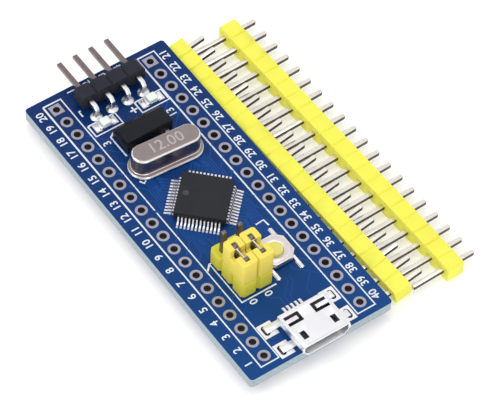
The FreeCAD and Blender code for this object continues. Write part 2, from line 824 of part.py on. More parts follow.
def make_crystal():
    seals = []
    wires = []
    holders = []
    for name, sign in (("far", ""), ("near", "-")):
        y = f"{sign}crystal_lead_pitch / 2"
        wires.append(cylinder(f"{name}_wire", "0", y, TABLE, "crystal_lead_radius",
                              f"{TOP} + crystal_lead_rise - ({TABLE})"))
        ring = cylinder(f"{name}_bead", "0", y, CRYSTAL_SEAT, "glass_radius", "base_sheet")
        bore = cylinder(f"{name}_bead_bore", "0", y, CRYSTAL_SEAT, "crystal_lead_radius", "base_sheet")
        seals.append(cut(f"{name}_seal", ring, [bore]))
        sides = ("clip_breadth", "clip_length", "crystal_clip_height")
        holders.append(centred_block(f"{name}_holder", "0", y, f"{TOP} + crystal_lead_rise", sides))
    keep(turned_with_crystal(group("crystal_leads", wires)), "crystal_leads")
    keep(turned_with_crystal(group("crystal_glass_seals", seals)), "crystal_glass_seals")
    keep(turned_with_crystal(group("crystal_clips", holders)), "crystal_clips")
    sides = ("blank_width", "blank_length", "blank_thickness")
    blank = new_body("crystal_blank")
    level = f"{TOP} + crystal_lead_rise + crystal_clip_height"
    pad(blank, rectangle(sketch_on(blank, level=level), "0", "0", sides[0], sides[1]), sides[2])
    keep(turned_with_crystal(blank), "crystal_blank")

    base = new_body("crystal_base")
    plate = stadium(sketch_on(base, level=CRYSTAL_SEAT), "flange_length", "flange_width", across=True)
    for sign in ("", "-"):
        circle(plate, "0", f"{sign}crystal_lead_pitch / 2", "glass_radius")
    pad(base, plate, "base_sheet")
    keep(turned_with_crystal(base), "crystal_base")

    can = new_body("crystal_can")
    rim = stadium(sketch_on(can, level=CRYSTAL_BASE_TOP), "flange_length", "flange_width", across=True)
    pad(can, rim, "can_sheet")
    rise = "crystal_height - crystal_lift - base_sheet"
    outline = stadium(sketch_on(can, level=CRYSTAL_BASE_TOP), "can_length", "can_width", across=True)
    wall = pad(can, outline, rise)
    top = size(f"{CRYSTAL_BASE_TOP} + {rise}")
    dress(can, "Fillet", wall, "can_edge", lambda e: e.BoundBox.ZMin > top - 1e-6)
    inner = ("can_length - 2 * can_sheet", "can_width - 2 * can_sheet")
    pocket(can, stadium(sketch_on(can, level=CRYSTAL_BASE_TOP), *inner, across=True), f"{rise} - can_sheet")
    keep(turned_with_crystal(can), "crystal_can")


def make_rtc_crystal():
    seat = f"{LAND_TOP} + rtc_terminal_sheet"
    terminals = []
    for side, sign in (("left", "-"), ("right", "+")):
        for end, way in (("near", "-"), ("far", "+")):
            y = f"rtc_y {way} rtc_terminal_pitch / 2"
            reach = "2 * rtc_terminal_under"
            foot = centred_block(f"{side}_{end}_foot", f"rtc_x {sign} rtc_width / 2", y, LAND_TOP,
                                 (reach, "rtc_terminal_width", "rtc_terminal_sheet"))
            x = f"rtc_x {sign} (rtc_width + rtc_terminal_sheet) / 2"
            sides = ("rtc_terminal_sheet", "rtc_terminal_width", "rtc_terminal_rise")
            riser = centred_block(f"{side}_{end}_riser", x, y, seat, sides)
            terminals.append(fuse(f"{side}_{end}_terminal", [foot, riser]))
    keep(group("rtc_crystal_terminals", terminals), "rtc_crystal_terminals")

    tube_level = f"{seat} + rtc_height / 2"
    tube = new_body("rtc_crystal_tube")
    section = circle(sketch_on(tube, "XZ_Plane"), "0", "0", "rtc_tube_radius")
    pad(tube, section, "rtc_tube_length", symmetric=True)
    keep(place(tube, "rtc_x", "rtc_y", tube_level), "rtc_crystal_tube")

    mould = new_body("rtc_mould")
    half, top = "rtc_width / 2", "rtc_height"
    section = [(f"-{half}", "0"), (half, "0"), (half, f"{top} - rtc_edge")]
    section += [(f"{half} - rtc_edge", top)]
    section += [(f"-{half} + rtc_bevel", top), (f"-{half}", f"{top} - rtc_bevel")]
    pad(mould, polygon(sketch_on(mould, "XZ_Plane"), section), "rtc_length", symmetric=True)
    place(mould, "rtc_x", "rtc_y", seat)
    keep(cut("rtc_crystal_body", mould, [tube]), "rtc_crystal_body")


# ---------------------------------------------------------------- LEDs
def make_leds():
    bases, ends, lenses, chips = [], [], [], []
    for name, y in (("near_led", "near_led_y"), ("far_led", "far_led_y")):
        middle = "led_length - 2 * led_end"
        base_sides = ("led_width", middle, "led_base_height")
        bases.append(centred_block(f"{name}_base", "led_x", y, LAND_TOP, base_sides))
        for end, sign in (("near", "-"), ("far", "+")):
            at = f"{y} {sign} (led_length - led_end) / 2"
            ends.append(centred_block(f"{name}_{end}_end", "led_x", at, LAND_TOP,
                                      ("led_width", "led_end", "led_base_height")))
        level = f"{LAND_TOP} + led_base_height"
        sides = ("led_chip_side", "led_chip_side", "led_chip_height")
        chip = centred_block(f"{name}_chip", "led_x", y, level, sides)
        chips.append(chip)
        dome_sides = ("led_width", "led_lens_length", "led_lens_height")
        dome = centred_block(f"{name}_dome", "led_x", y, level, dome_sides)
        lenses.append(cut(f"{name}_lens", dome, [chip]))
    keep(group("led_bases", bases), "led_bases")
    keep(group("led_terminals", ends), "led_terminals")
    keep(group("led_chips", chips), "led_chips")
    keep(group("led_lenses", lenses), "led_lenses")


# ---------------------------------------------------------------- reset switch
def at_reset(item):
    return place(item, "reset_x", "reset_y", TOP)


def reset_leg(name, y):
    """One contact frame: a strip through the housing with a foot at each end."""
    half = "reset_side / 2 + 2 * leg_sheet"
    body = new_body(name)
    low, high = "leg_level", "leg_level + leg_sheet"
    foot = "copper + leg_sheet"
    heel = "leg_reach - leg_foot"
    right = [(half, high), (f"{heel}", foot), ("leg_reach", foot), ("leg_reach", "copper")]
    right += [(f"{heel} - leg_sheet", "copper"), (f"{half} - leg_sheet", low)]
    left = [(f"-({x})", z) for x, z in reversed(right)]
    strip = polygon(sketch_on(body, "XZ_Plane", f"-({y})"), right + left)
    pad(body, strip, "leg_width", symmetric=True)
    return body


def make_reset_switch():
    centre_sides = ("leg_width", "leg_offset", "leg_sheet")
    rim_sides = ("leg_width", "leg_arm_length", "leg_sheet")
    rim_y = "-(leg_offset - leg_arm_length / 2)"
    arms = {
        "far": [centred_block("centre_arm", "0", "leg_offset / 2", "leg_level", centre_sides)],
        "near": [
            centred_block("left_rim_arm", "-rim_arm_x", rim_y, "leg_level", rim_sides),
            centred_block("right_rim_arm", "rim_arm_x", rim_y, "leg_level", rim_sides),
        ],
    }
    frames = []
    for name, y in (("far", "leg_offset"), ("near", "-leg_offset")):
        frames.append(fuse(f"{name}_contact", [reset_leg(f"{name}_leg", y), *arms[name]]))
    contacts = keep(at_reset(group("reset_contacts", frames)), "reset_contacts")

    top = "reset_height - reset_sheet"
    housing = new_body("reset_tray")
    lift = "copper + seat_gap"
    pad(housing, octagon(sketch_on(housing, level=lift), "reset_side", "reset_corner"), f"{top} - ({lift})")
    pocket(housing, circle(sketch_on(housing, level="reset_floor"), "0", "0", "reset_cup_radius"), top)
    keep(cut("reset_housing", at_reset(housing), [contacts]), "reset_housing")

    radius = "(dome_radius ^ 2 + dome_rise ^ 2) / (2 * dome_rise)"
    arch = f"reset_floor + dome_rise - {radius}"
    outer = ball("dome_outer", arch, radius)
    inner = ball("dome_inner", arch, f"({radius} - dome_sheet)")
    band = cylinder("dome_band", "0", "0", "reset_floor", "dome_radius", "dome_rise")
    shell = doc.addObject("Part::Common", "dome_cap")
    shell.Base = band
    shell.Tool = outer
    keep(at_reset(cut("reset_dome", shell, [inner])), "reset_dome")

    plunger = new_body("reset_plunger")
    foot = "reset_floor + dome_rise + plunger_slack"
    shelf = f"{top} - plunger_slack - plunger_flange"
    profile = [
        ("0", foot),
        ("plunger_foot_radius", foot),
        ("plunger_foot_radius", shelf),
        ("reset_cup_radius - plunger_gap", shelf),
        ("reset_cup_radius - plunger_gap", f"{shelf} + plunger_flange"),
        ("plunger_radius", f"{shelf} + plunger_flange"),
        ("plunger_radius", "reset_height + plunger_rise - plunger_gap"),
        ("plunger_radius - plunger_gap", "reset_height + plunger_rise"),
        ("0", "reset_height + plunger_rise"),
    ]
    revolve(plunger, polygon(sketch_on(plunger, "XZ_Plane"), profile))
    keep(at_reset(plunger), "reset_plunger")

    cover = new_body("reset_cover")
    outside = "reset_side + 2 * reset_sheet"
    corner = "reset_corner + (2 - sqrt(2)) * reset_sheet"
    pad(cover, octagon(sketch_on(cover, level="reset_skirt"), outside, corner), "reset_height - reset_skirt")
    groove = sketch_on(cover, level="reset_height - groove_depth")
    for inset in ("rim_width", "(rim_width + groove_width)"):
        octagon(groove, f"{outside} - 2 * {inset}", f"{corner} - (2 - sqrt(2)) * {inset}")
    pocket(cover, groove, "groove_depth")
    ridge = circle(sketch_on(cover, level="reset_height"), "0", "0", "ridge_radius + ridge_width")
    pad(cover, circle(ridge, "0", "0", "ridge_radius"), "ridge_height")
    inside = octagon(sketch_on(cover, level="reset_skirt"), "reset_side", "reset_corner")
    pocket(cover, inside, f"{top} - reset_skirt")
    window = circle(sketch_on(cover, level=top), "0", "0", "plunger_radius + plunger_gap")
    pocket(cover, window, "reset_height")
    keep(at_reset(cover), "reset_cover")


# ---------------------------------------------------------------- header pins and bars
def unit_outline(sketch, x="0", y="0", bevel="unit_bevel"):
    """One bevelled unit of a header bar, seen along its pins."""
    half, short = "pitch / 2", f"(bar_size / 2 - {bevel})"
    wide, deep = f"({half} - {bevel})", "(bar_size / 2)"
    corners = [(wide, f"-{deep}"), (f"({half})", f"-{short}"), (f"({half})", short), (wide, deep)]
    corners += [(f"-{wide}", deep), (f"-({half})", short)]
    corners += [(f"-({half})", f"-{short}"), (f"-{wide}", f"-{deep}")]
    return polygon(sketch, [(f"{x} + {a}", f"{y} + {b}") for a, b in corners])


def pin_profile(sketch, x, low, high):
    """A header pin seen from the side, with both ends tapered."""
    half = "pin_size / 2"
    left, right = f"{x} - {half}", f"{x} + {half}"
    corners = [(left, f"{low} + pin_point"), (f"{left} + pin_point", low)]
    corners += [(f"{right} - pin_point", low), (right, f"{low} + pin_point")]
    corners += [(right, f"{high} - pin_point"), (f"{right} - pin_point", high)]
    corners += [(f"{left} + pin_point", high), (left, f"{high} - pin_point")]
    return polygon(sketch, corners)


def make_boot_header():
    pins = new_body("boot_header_pins")
    profile = pin_profile(sketch_on(pins, "XZ_Plane"), "0", TABLE, f"{TOP} + boot_pin_rise")
    pin = pad(pins, profile, "pin_size", symmetric=True)
    repeat(pins, [pin], "boot_columns", "pitch", rows="boot_rows", row_step="pitch")
    keep(place(pins, BOOT_FIRST_X, BOOT_FIRST_Y), "boot_header_pins")

    bar = new_body("boot_bar")
    unit = pad(bar, unit_outline(sketch_on(bar)), "bar_size")
    repeat(bar, [unit], "boot_columns", "pitch", rows="boot_rows", row_step="pitch")
    place(bar, BOOT_FIRST_X, BOOT_FIRST_Y, BOOT_SEAT)
    keep(cut("boot_header_body", bar, [pins]), "boot_header_body")


def make_jumper_cap(letter, y):
    """A jumper cap over the last two columns: its shell and the clip inside."""
    x = "boot_x + pitch / 2"
    top = f"{CAP_SEAT} + cap_height"
    clip = new_body(f"jumper_cap_{letter}_clip")
    inner = "(pin_size / 2 + clip_gap)"
    level = f"{top} - clip_drop - clip_height"
    half = "(pitch + pin_size) / 2"
    web = "(pitch - pin_size) / 2 - clip_gap"
    neck = f"({web} - clip_sheet)"
    blade = "clip_sheet / 2"
    outer = f"({inner} + clip_sheet)"
    fork = [(neck, f"-{blade}"), (neck, f"-{outer}"), (half, f"-{outer}"), (half, f"-{inner}")]
    fork += [(web, f"-{inner}"), (web, inner), (half, inner), (half, outer), (neck, outer), (neck, blade)]
    outline = fork + [(f"-({x})", y) for x, y in reversed(fork)]
    pad(clip, polygon(sketch_on(clip, level=level), outline), "clip_height")
    keep(place(clip, x, y), f"jumper_cap_{letter}_clip")

    shell = new_body(f"jumper_cap_{letter}_shell")
    footprint = rectangle(sketch_on(shell, level=CAP_SEAT), "0", "0", "cap_length", "cap_width")
    slab = pad(shell, footprint, "cap_height")
    dress(shell, "Fillet", slab, "cap_corner", upright)
    slot = rectangle(sketch_on(shell, level=CAP_SEAT), "0", "0", "cap_slot_length", "cap_slot_width")
    pocket(shell, slot, "cap_height")
    room = f"2 * ({outer} + clip_room)"
    chamber = rectangle(sketch_on(shell, level=CAP_SEAT), "0", "0", "cap_slot_length", room)
    pocket(shell, chamber, "cap_height - clip_drop")
    notch = rectangle(sketch_on(shell, level=f"{top} - cap_notch_depth"), "0", "0", "cap_notch_width",
                      "cap_width + cap_corner")
    pocket(shell, notch, "cap_notch_depth")
    keep(place(shell, x, y), f"jumper_cap_{letter}_shell")


def make_swd_header():
    """The right-angle debug header: its pins run out over the board's end and down through it."""
    level = f"{LAND_TOP} + swd_body_lift + bar_size / 2"
    front = "-(swd_body_gap + swd_body_depth + swd_reach)"
    half = "pin_size / 2"
    pins = new_body("swd_header_pins")
    path = [
        (front, f"{level} - {half} + pin_point"),
        (f"{front} + pin_point", f"{level} - {half}"),
        (f"-{half} - swd_bend + pin_size", f"{level} - {half}"),
        (f"-{half}", f"{level} + {half} - swd_bend - {half}"),
        (f"-{half}", f"{TABLE} + pin_point"),
        (f"-{half} + pin_point", TABLE),
        (f"{half} - pin_point", TABLE),
        (half, f"{TABLE} + pin_point"),
        (half, f"{level} + {half} - swd_bend"),
        (f"{half} - swd_bend", f"{level} + {half}"),
        (f"{front} + pin_point", f"{level} + {half}"),
        (front, f"{level} + {half} - pin_point"),
    ]
    bent = pad(pins, polygon(sketch_on(pins, "XZ_Plane", f"-({SWD_Y})"), path), "pin_size", symmetric=True)
    repeat(pins, [bent], "swd_pins", "pitch", axis="Y_Axis")
    keep(place(pins, "swd_hole_x"), "swd_header_pins")

    bar = new_body("swd_bar")
    sketch = unit_outline(sketch_on(bar, "YZ_Plane", "-(swd_body_gap + swd_body_depth)"), SWD_Y, level)
    unit = pad(bar, sketch, "swd_body_depth")
    repeat(bar, [unit], "swd_pins", "pitch", axis="Y_Axis")
    place(bar, "swd_hole_x")
    keep(cut("swd_header_body", bar, [pins]), "swd_header_body")


# ---------------------------------------------------------------- solder
def solder_joint(name, x, y, crowned):
    """Solder that fills a plated hole and makes a cone below, and above if it is crowned."""
    low = "-copper - joint_height"
    shapes = [
        cylinder(f"{name}_fill", x, y, "-copper", "hole_radius", f"{LAND_TOP} + copper"),
        cone(f"{name}_cone", x, y, low, "joint_neck", "joint_radius", "joint_height"),
    ]
    if crowned:
        crown = cone(f"{name}_crown", x, y, LAND_TOP, "joint_radius", "joint_neck", "swd_body_lift / 2")
        shapes.append(crown)
    return fuse(name, shapes)


def make_pin_solder():
    swd, boot, crystal = part_hole_places()
    joints = [solder_joint(f"swd_joint_{i}", x, y, True) for i, (x, y) in enumerate(swd)]
    joints += [solder_joint(f"boot_joint_{i}", x, y, False) for i, (x, y) in enumerate(boot)]
    joints += [solder_joint(f"crystal_joint_{i}", x, y, False) for i, (x, y) in enumerate(crystal)]
    pins = [parts["swd_header_pins"], parts["boot_header_pins"], parts["crystal_leads"]]
    keep(cut("pin_solder", group("solder_blanks", joints), pins), "pin_solder")


# ---------------------------------------------------------------- USB receptacle
def usb_section(sketch, inset):
    """The receptacle's cross-section, drawn in by inset."""
    half, low = f"(usb_width / 2 - {inset})", f"({TOP} + usb_lift + {inset})"
    narrow = f"(usb_bottom_width / 2 - 0.6 * {inset})"
    top, knee = f"({TOP} + usb_height - {inset})", f"({TOP} + usb_height - usb_side_drop)"
    corners = [(f"-{narrow}", low), (narrow, low), (half, knee)]
    corners += [(half, top), (f"-{half}", top), (f"-{half}", knee)]
    return polygon(sketch, corners)


def make_usb_receptacle():
    contacts = new_body("usb_contacts")
    level = f"{TOP} + tongue_level"
    heel = "usb_rear - usb_block_gap"
    profile = [
        (f"{heel} - usb_contact_foot", LAND_TOP),
        (heel, LAND_TOP),
        (f"{heel} + usb_contact_sheet", f"{level} - usb_contact_sheet"),
        (f"{USB_FRONT} - tongue_inset - usb_contact_front", f"{level} - usb_contact_sheet"),
        (f"{USB_FRONT} - tongue_inset - usb_contact_front", level),
        (f"{heel} - usb_contact_sheet / 2", level),
        (f"{heel} - usb_contact_sheet", f"{LAND_TOP} + usb_contact_sheet"),
        (f"{heel} - usb_contact_foot", f"{LAND_TOP} + usb_contact_sheet"),
    ]
    first = "usb_contact_pitch * (usb_contacts_count - 1) / 2"
    outline = polygon(sketch_on(contacts, "XZ_Plane", first), profile)
    strip = pad(contacts, outline, "usb_contact_width", symmetric=True)
    repeat(contacts, [strip], "usb_contacts_count", "usb_contact_pitch", axis="Y_Axis")
    keep(contacts, "usb_contacts")

    insulator = new_body("usb_insulator")
    pad(insulator, usb_section(sketch_on(insulator, "YZ_Plane", "usb_rear"), "usb_sheet"), "tongue_block")
    tongue_level = f"{level} - usb_contact_sheet / 2 + tongue_sheet / 2"
    tongue_sketch = sketch_on(insulator, "YZ_Plane", "usb_rear")
    tongue = rectangle(tongue_sketch, "0", tongue_level, "tongue_width", "tongue_sheet")
    pad(insulator, tongue, "usb_length - tongue_inset")
    keep(cut("usb_tongue", insulator, [contacts]), "usb_tongue")

    shell = new_body("usb_tube")
    pad(shell, usb_section(sketch_on(shell, "YZ_Plane", "usb_rear"), "0"), "usb_length")
    pocket(shell, usb_section(sketch_on(shell, "YZ_Plane", "usb_rear"), "usb_sheet"), "usb_length")
    tab_inner, tab_outer = "usb_bottom_width / 2", "usb_tab_y + usb_sheet / 2"
    floor = f"{TOP} + usb_lift"
    tab = [
        (f"-({tab_inner})", floor),
        (f"-({tab_inner})", f"{floor} + usb_sheet"),
        (f"-({tab_outer})", f"{floor} + usb_sheet"),
        (f"-({tab_outer})", f"{TOP} - usb_tab_depth"),
        (f"-({tab_outer} - usb_sheet)", f"{TOP} - usb_tab_depth"),
        (f"-({tab_outer} - usb_sheet)", floor),
    ]
    outline = polygon(sketch_on(shell, "YZ_Plane", "usb_tab_x - usb_tab_width / 2"), tab)
    bracket = pad(shell, outline, "usb_tab_width")
    pair = shell.newObject("PartDesign::MultiTransform", "usb_tab_set")
    pair.Originals = [bracket]
    line = shell.newObject("PartDesign::LinearPattern", "usb_tab_line")
    line.Direction = (origin_of(shell, "X_Axis"), [""])
    line.Occurrences = 2
    bind(line, "Length", "usb_tab_pitch")
    other = shell.newObject("PartDesign::Mirrored", "usb_tab_mirror")
    other.MirrorPlane = (origin_of(shell, "XZ_Plane"), [""])
    pair.Transformations = [line, other]
    shell.Tip = pair
    feet = sketch_on(shell, level=floor)
    for side in "-+":
        middle = ("usb_rear + usb_sheet - usb_foot_reach / 2", f"{side}usb_foot_y")
        rectangle(feet, *middle, "usb_foot_reach + 2 * usb_sheet", "usb_foot_width")
    pad(shell, feet, "usb_sheet")

    latch = sketch_on(shell, level=USB_ROOF)
    for sign in ("", "-"):
        inner, outer = f"{sign}latch_inner", f"{sign}latch_outer"
        step = f"{sign}(latch_inner + latch_slot)"
        front = "latch_rear + latch_length"
        corners = [("latch_rear", inner), (front, inner), (front, outer), (f"{front} - latch_slot", outer)]
        corners += [(f"{front} - latch_slot", step), ("latch_rear + latch_slot", step)]
        corners += [("latch_rear + latch_slot", outer), ("latch_rear", outer)]
        polygon(latch, corners)
        window = ("window_rear + window_length / 2", f"{sign}(window_inner + window_width / 2)")
        rectangle(latch, *window, "window_length", "window_width")
    pocket(shell, latch, "usb_sheet")
    lips = [usb_lip("roof_lip", "XZ_Plane")]
    lips += [usb_lip("near_lip", "XY_Plane", "-"), usb_lip("far_lip", "XY_Plane", "")]
    keep(fuse("usb_shell", [shell, *lips]), "usb_shell")


def usb_lip(name, role, sign=None):
    """A flared lip at the mouth: the sheet turned outwards along one wall."""
    body = new_body(name)
    back, front = f"{USB_FRONT} - usb_lip", USB_FRONT
    if sign is None:
        outer, inner = f"{TOP} + usb_height", USB_ROOF
        corners = [(back, inner), (front, f"{inner} + usb_lip / 2")]
        corners += [(front, f"{outer} + usb_lip / 2"), (back, outer)]
        pad(body, polygon(sketch_on(body, role), corners), "usb_width - 2 * usb_lip_inset", symmetric=True)
        return body
    outer, inner = "usb_width / 2", "usb_width / 2 - usb_sheet"
    corners = [(back, f"{sign}({inner})"), (front, f"{sign}({inner} + usb_lip / 2)")]
    corners += [(front, f"{sign}({outer} + usb_lip / 2)"), (back, f"{sign}({outer})")]
    level = f"{TOP} + usb_height - usb_side_drop"
    pad(body, polygon(sketch_on(body, role, level), corners), "usb_side_drop - 2 * usb_sheet")
    return body


def make_usb_tab_solder():
    body = new_body("usb_tab_fill")
    centre = ("usb_tab_x", "-usb_tab_y")
    outline = stadium(sketch_on(body, level="copper"), "usb_slot_length", "usb_slot_width", *centre)
    fill = pad(body, outline, f"{TOP} - usb_tab_depth + usb_solder_height")
    repeat(body, [fill], "2", "usb_tab_pitch", rows="2", row_step="2 * usb_tab_y")
    keep(cut("usb_tab_solder", body, [parts["usb_shell"]]), "usb_tab_solder")


# ---------------------------------------------------------------- underside parts
def make_regulator():
    under = "-copper"
    seat = f"{under} - regulator_standoff"
    middle = f"{seat} - regulator_height / 2"
    half = "regulator_lead_sheet / 2"
    leads = new_body("regulator_leads")
    rows = []
    for sign, count, step in (("-", "3", "regulator_lead_pitch"), ("", "2", "2 * regulator_lead_pitch")):
        root, tip = "regulator_width / 2 - 2 * regulator_lead_sheet", "regulator_span / 2"
        heel = f"{tip} - regulator_lead_foot"
        corners = [
            (root, f"{middle} - {half}"),
            (f"{heel}", f"{middle} - {half}"),
            (f"{heel} + regulator_lead_sheet", f"{under} - regulator_lead_sheet"),
            (tip, f"{under} - regulator_lead_sheet"),
            (tip, under),
            (f"{heel}", under),
            (f"{heel} - regulator_lead_sheet", f"{middle} + {half}"),
            (root, f"{middle} + {half}"),
        ]
        profile = [(f"{sign}({x})", z) for x, z in corners]
        sketch = polygon(sketch_on(leads, "XZ_Plane", "regulator_lead_pitch"), profile)
        lead = pad(leads, sketch, "regulator_lead_width", symmetric=True)
        rows.append(repeat(leads, [lead], count, step, axis="Y_Axis"))
    keep(place(leads, "regulator_x", "regulator_y"), "regulator_leads")
    sides = ("regulator_width", "regulator_length", "regulator_height")
    low = f"{seat} - regulator_height"
    mould = centred_block("regulator_mould", "regulator_x", "regulator_y", low, sides)
    keep(cut("regulator_package", mould, [leads]), "regulator_package")


def make_chip_pieces(label, row, height, ends):
    body = new_body(label)
    sketch = sketch_on(body, level="-copper")
    if ends:
        chip_ends(sketch, row, "chip_width", "0")
    else:
        rectangle(sketch, "chip_first_x", f"-{row}", "chip_width", "chip_length - 2 * chip_end")
    chip_row(body, sketch, height, row)
    keep(body, label)


# ---------------------------------------------------------------- loose header strips
def strip_placement(near):
    """Where a loose strip lies: the near one leans on its pin tips, the far one lies flat."""
    angle = FreeCAD.Rotation(FreeCAD.Vector(0, 0, 1), size("strip_angle"))
    roll = size("strip_lean") if near else 0
    lean = FreeCAD.Rotation(FreeCAD.Vector(1, 0, 0), roll)
    half = size("bar_size") / 2
    corner = lean.multVec(FreeCAD.Vector(0, -half, -half))
    along = angle.multVec(FreeCAD.Vector(1, 0, 0))
    across = angle.multVec(FreeCAD.Vector(0, 1, 0))
    base = FreeCAD.Vector(size("near_strip_x"), size("near_strip_y"), size(TABLE) - corner.z)
    if not near:
        base += along * size("strip_stagger") + across * size("strip_distance")
    return FreeCAD.Placement(base, angle.multiply(lean))


def make_strip(name, near):
    """A 1 x 20 header strip: its bar along X and its pins along Y, long ends towards the board."""
    pins = new_body(f"{name}_pins")
    profile = pin_profile(sketch_on(pins), FIRST_X, "-(bar_size / 2 + long_pin)", "bar_size / 2 + short_pin")
    pin = pad(pins, profile, "pin_size", symmetric=True)
    repeat(pins, [pin], "row_pins", "pitch")
    pins.Placement = strip_placement(near)
    keep(pins, f"{name}_pins")
    bar = new_body(f"{name}_blank")
    outline = unit_outline(sketch_on(bar, "XZ_Plane"), FIRST_X, bevel="strip_bevel")
    unit = pad(bar, outline, "bar_size", symmetric=True)
    repeat(bar, [unit], "row_pins", "pitch")
    bar.Placement = strip_placement(near)
    keep(cut(f"{name}_bar", bar, [pins]), f"{name}_bar")


# ---------------------------------------------------------------- the whole board
def make_everything():
    make_laminate()
    make_row_barrels("near_row_barrels", "-row_spacing / 2")
    make_row_barrels("far_row_barrels", "row_spacing / 2")
    make_part_barrels()
    make_usb_slot_barrels()
    make_top_lands()
    make_mcu_lands()
    make_bottom_lands()
    make_mcu()
    make_crystal()
    make_rtc_crystal()
    make_leds()
    make_reset_switch()
    make_boot_header()
    make_jumper_cap("a", BOOT_FIRST_Y)
    make_jumper_cap("b", f"{BOOT_FIRST_Y} + pitch")
    make_swd_header()
    make_pin_solder()
    make_usb_receptacle()
    make_usb_tab_solder()
    make_regulator()
    make_chip_pieces("capacitor_bodies", "capacitor_row", "capacitor_height", False)
    make_chip_pieces("capacitor_terminals", "capacitor_row", "capacitor_height", True)
    make_chip_pieces("resistor_bodies", "resistor_row", "resistor_height", False)
    make_chip_pieces("resistor_terminals", "resistor_row", "resistor_height", True)
    make_strip("near_strip", True)
    make_strip("far_strip", False)


def check_document():
    """Stop if any object failed or any sub-part has no sound shape."""
    doc.recompute()
    for item in doc.Objects:
        assert "Invalid" not in item.State and "Error" not in item.State, f"{item.Label} failed"
    for label, item in parts.items():
        assert not item.Shape.isNull() and item.Shape.isValid(), f"{label} has no sound shape"
        assert item.Shape.Solids, f"{label} holds no solid"


def write_parts():
    os.makedirs("parts", exist_ok=True)
    for label, item in parts.items():
        item.Shape.exportStep(f"parts/{label}.step")
        print(f"{label}: {len(item.Shape.Solids)} solids, {item.Shape.Volume:.3f} mm3")


fill_sheet()
make_everything()
check_document()
write_parts()
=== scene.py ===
# %% [markdown]
# # A microcontroller dev board and its loose header strips
#
# The board is a sheet of glass-fibre laminate under a blue solder mask, with white printing, tinned
# copper and a handful of moulded, pressed and drawn parts. Two yellow header strips lie beside it.
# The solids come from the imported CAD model. This lesson gives them their finishes, rounds their
# edges and adds what is too thin or too fine for the solids: printing, tracks and solder.

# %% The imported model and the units
import json
import math

import bmesh
import bpy
from mathutils import Matrix, Vector

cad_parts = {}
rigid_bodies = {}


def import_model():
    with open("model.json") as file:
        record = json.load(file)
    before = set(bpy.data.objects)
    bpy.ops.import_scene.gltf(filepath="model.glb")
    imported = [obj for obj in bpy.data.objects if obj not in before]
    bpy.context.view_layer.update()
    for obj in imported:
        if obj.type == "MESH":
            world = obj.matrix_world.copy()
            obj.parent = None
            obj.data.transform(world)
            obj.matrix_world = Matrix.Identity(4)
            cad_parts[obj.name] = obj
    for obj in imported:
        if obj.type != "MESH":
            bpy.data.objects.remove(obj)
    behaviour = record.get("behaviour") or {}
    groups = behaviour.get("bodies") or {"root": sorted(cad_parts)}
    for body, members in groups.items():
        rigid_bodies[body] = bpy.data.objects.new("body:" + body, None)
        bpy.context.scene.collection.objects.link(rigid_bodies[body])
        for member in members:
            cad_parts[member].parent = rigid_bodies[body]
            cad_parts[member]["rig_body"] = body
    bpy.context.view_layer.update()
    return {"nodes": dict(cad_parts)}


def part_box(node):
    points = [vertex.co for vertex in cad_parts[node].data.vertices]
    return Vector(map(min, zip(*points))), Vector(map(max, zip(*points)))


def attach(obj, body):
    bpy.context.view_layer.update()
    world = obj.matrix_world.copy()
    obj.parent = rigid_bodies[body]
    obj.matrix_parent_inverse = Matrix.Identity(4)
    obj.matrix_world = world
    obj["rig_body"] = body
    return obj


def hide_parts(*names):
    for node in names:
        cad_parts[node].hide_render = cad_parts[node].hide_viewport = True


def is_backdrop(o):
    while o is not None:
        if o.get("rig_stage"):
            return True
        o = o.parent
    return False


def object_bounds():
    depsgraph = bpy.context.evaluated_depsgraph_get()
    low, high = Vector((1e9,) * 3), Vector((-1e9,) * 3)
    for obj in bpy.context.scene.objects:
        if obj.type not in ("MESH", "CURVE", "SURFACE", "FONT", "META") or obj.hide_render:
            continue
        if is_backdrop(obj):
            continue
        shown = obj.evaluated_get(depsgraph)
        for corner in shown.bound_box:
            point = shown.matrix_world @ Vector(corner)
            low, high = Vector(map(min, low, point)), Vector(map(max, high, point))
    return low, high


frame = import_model()
MM = 0.001


# %% [markdown]
# ## Measuring the CAD model
#
# The places of solid parts are asked from the model rather than typed in, so that a finish still
# lands on its piece when the board changes. Electronic parts are drawn in millimetres and Blender
# works in metres, so one helper answers in millimetres.

# %% Boxes in millimetres
def box_mm(node):
    """A CAD node's low and high corner in millimetres."""
    low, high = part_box(node)
    return Vector(low) / MM, Vector(high) / MM


BOARD_LOW, BOARD_HIGH = box_mm("pcb_laminate")
print("laminate in mm", [round(size, 2) for size in BOARD_HIGH - BOARD_LOW])

# %% [markdown]
# ## Materials from hex colours
#
# Paint books and screens give colours in sRGB, and the renderer works in linear light, so one
# function turns a hex code into linear numbers. A second one adds a node to a material with its
# settings and its links. Every material below is made of these two.

# %% Colour and node helpers
def linear(code):
    """sRGB hex to linear RGBA."""
    parts = [int(code[i:i + 2], 16) / 255 for i in (1, 3, 5)]
    return tuple(c / 12.92 if c <= 0.04045 else ((c + 0.055) / 1.055) ** 2.4 for c in parts) + (1.0,)


def add(tree, kind, values=None, links=None, **settings):
    """Add one node with its settings, socket values and incoming links."""
    made = tree.nodes.new("ShaderNode" + kind)
    for name, value in settings.items():
        setattr(made, name, value)
    for socket, value in (values or {}).items():
        made.inputs[socket].default_value = value
    for socket, source in (links or {}).items():
        tree.links.new(source, made.inputs[socket])
    return made


print("middle grey in linear light", round(linear("#808080")[0], 3))


# %% [markdown]
# ## The surface that most pieces share
#
# Real mouldings and platings are never one flat colour. The colour drifts over a few millimetres,
# and a fine grain roughens the surface and tilts the light. Two noise textures do both: a slow one
# mixes two near tones, and a fine one drives the roughness and a bump. Their scale is one over a
# size in millimetres, so the grain is equally large on every piece. The real grain of plating and
# blasted epoxy is a few hundredths of a millimetre and would never show, so it is drawn coarser, at
# one to three tenths.

# %% A drifting colour with a fine grain
FINISHES = []


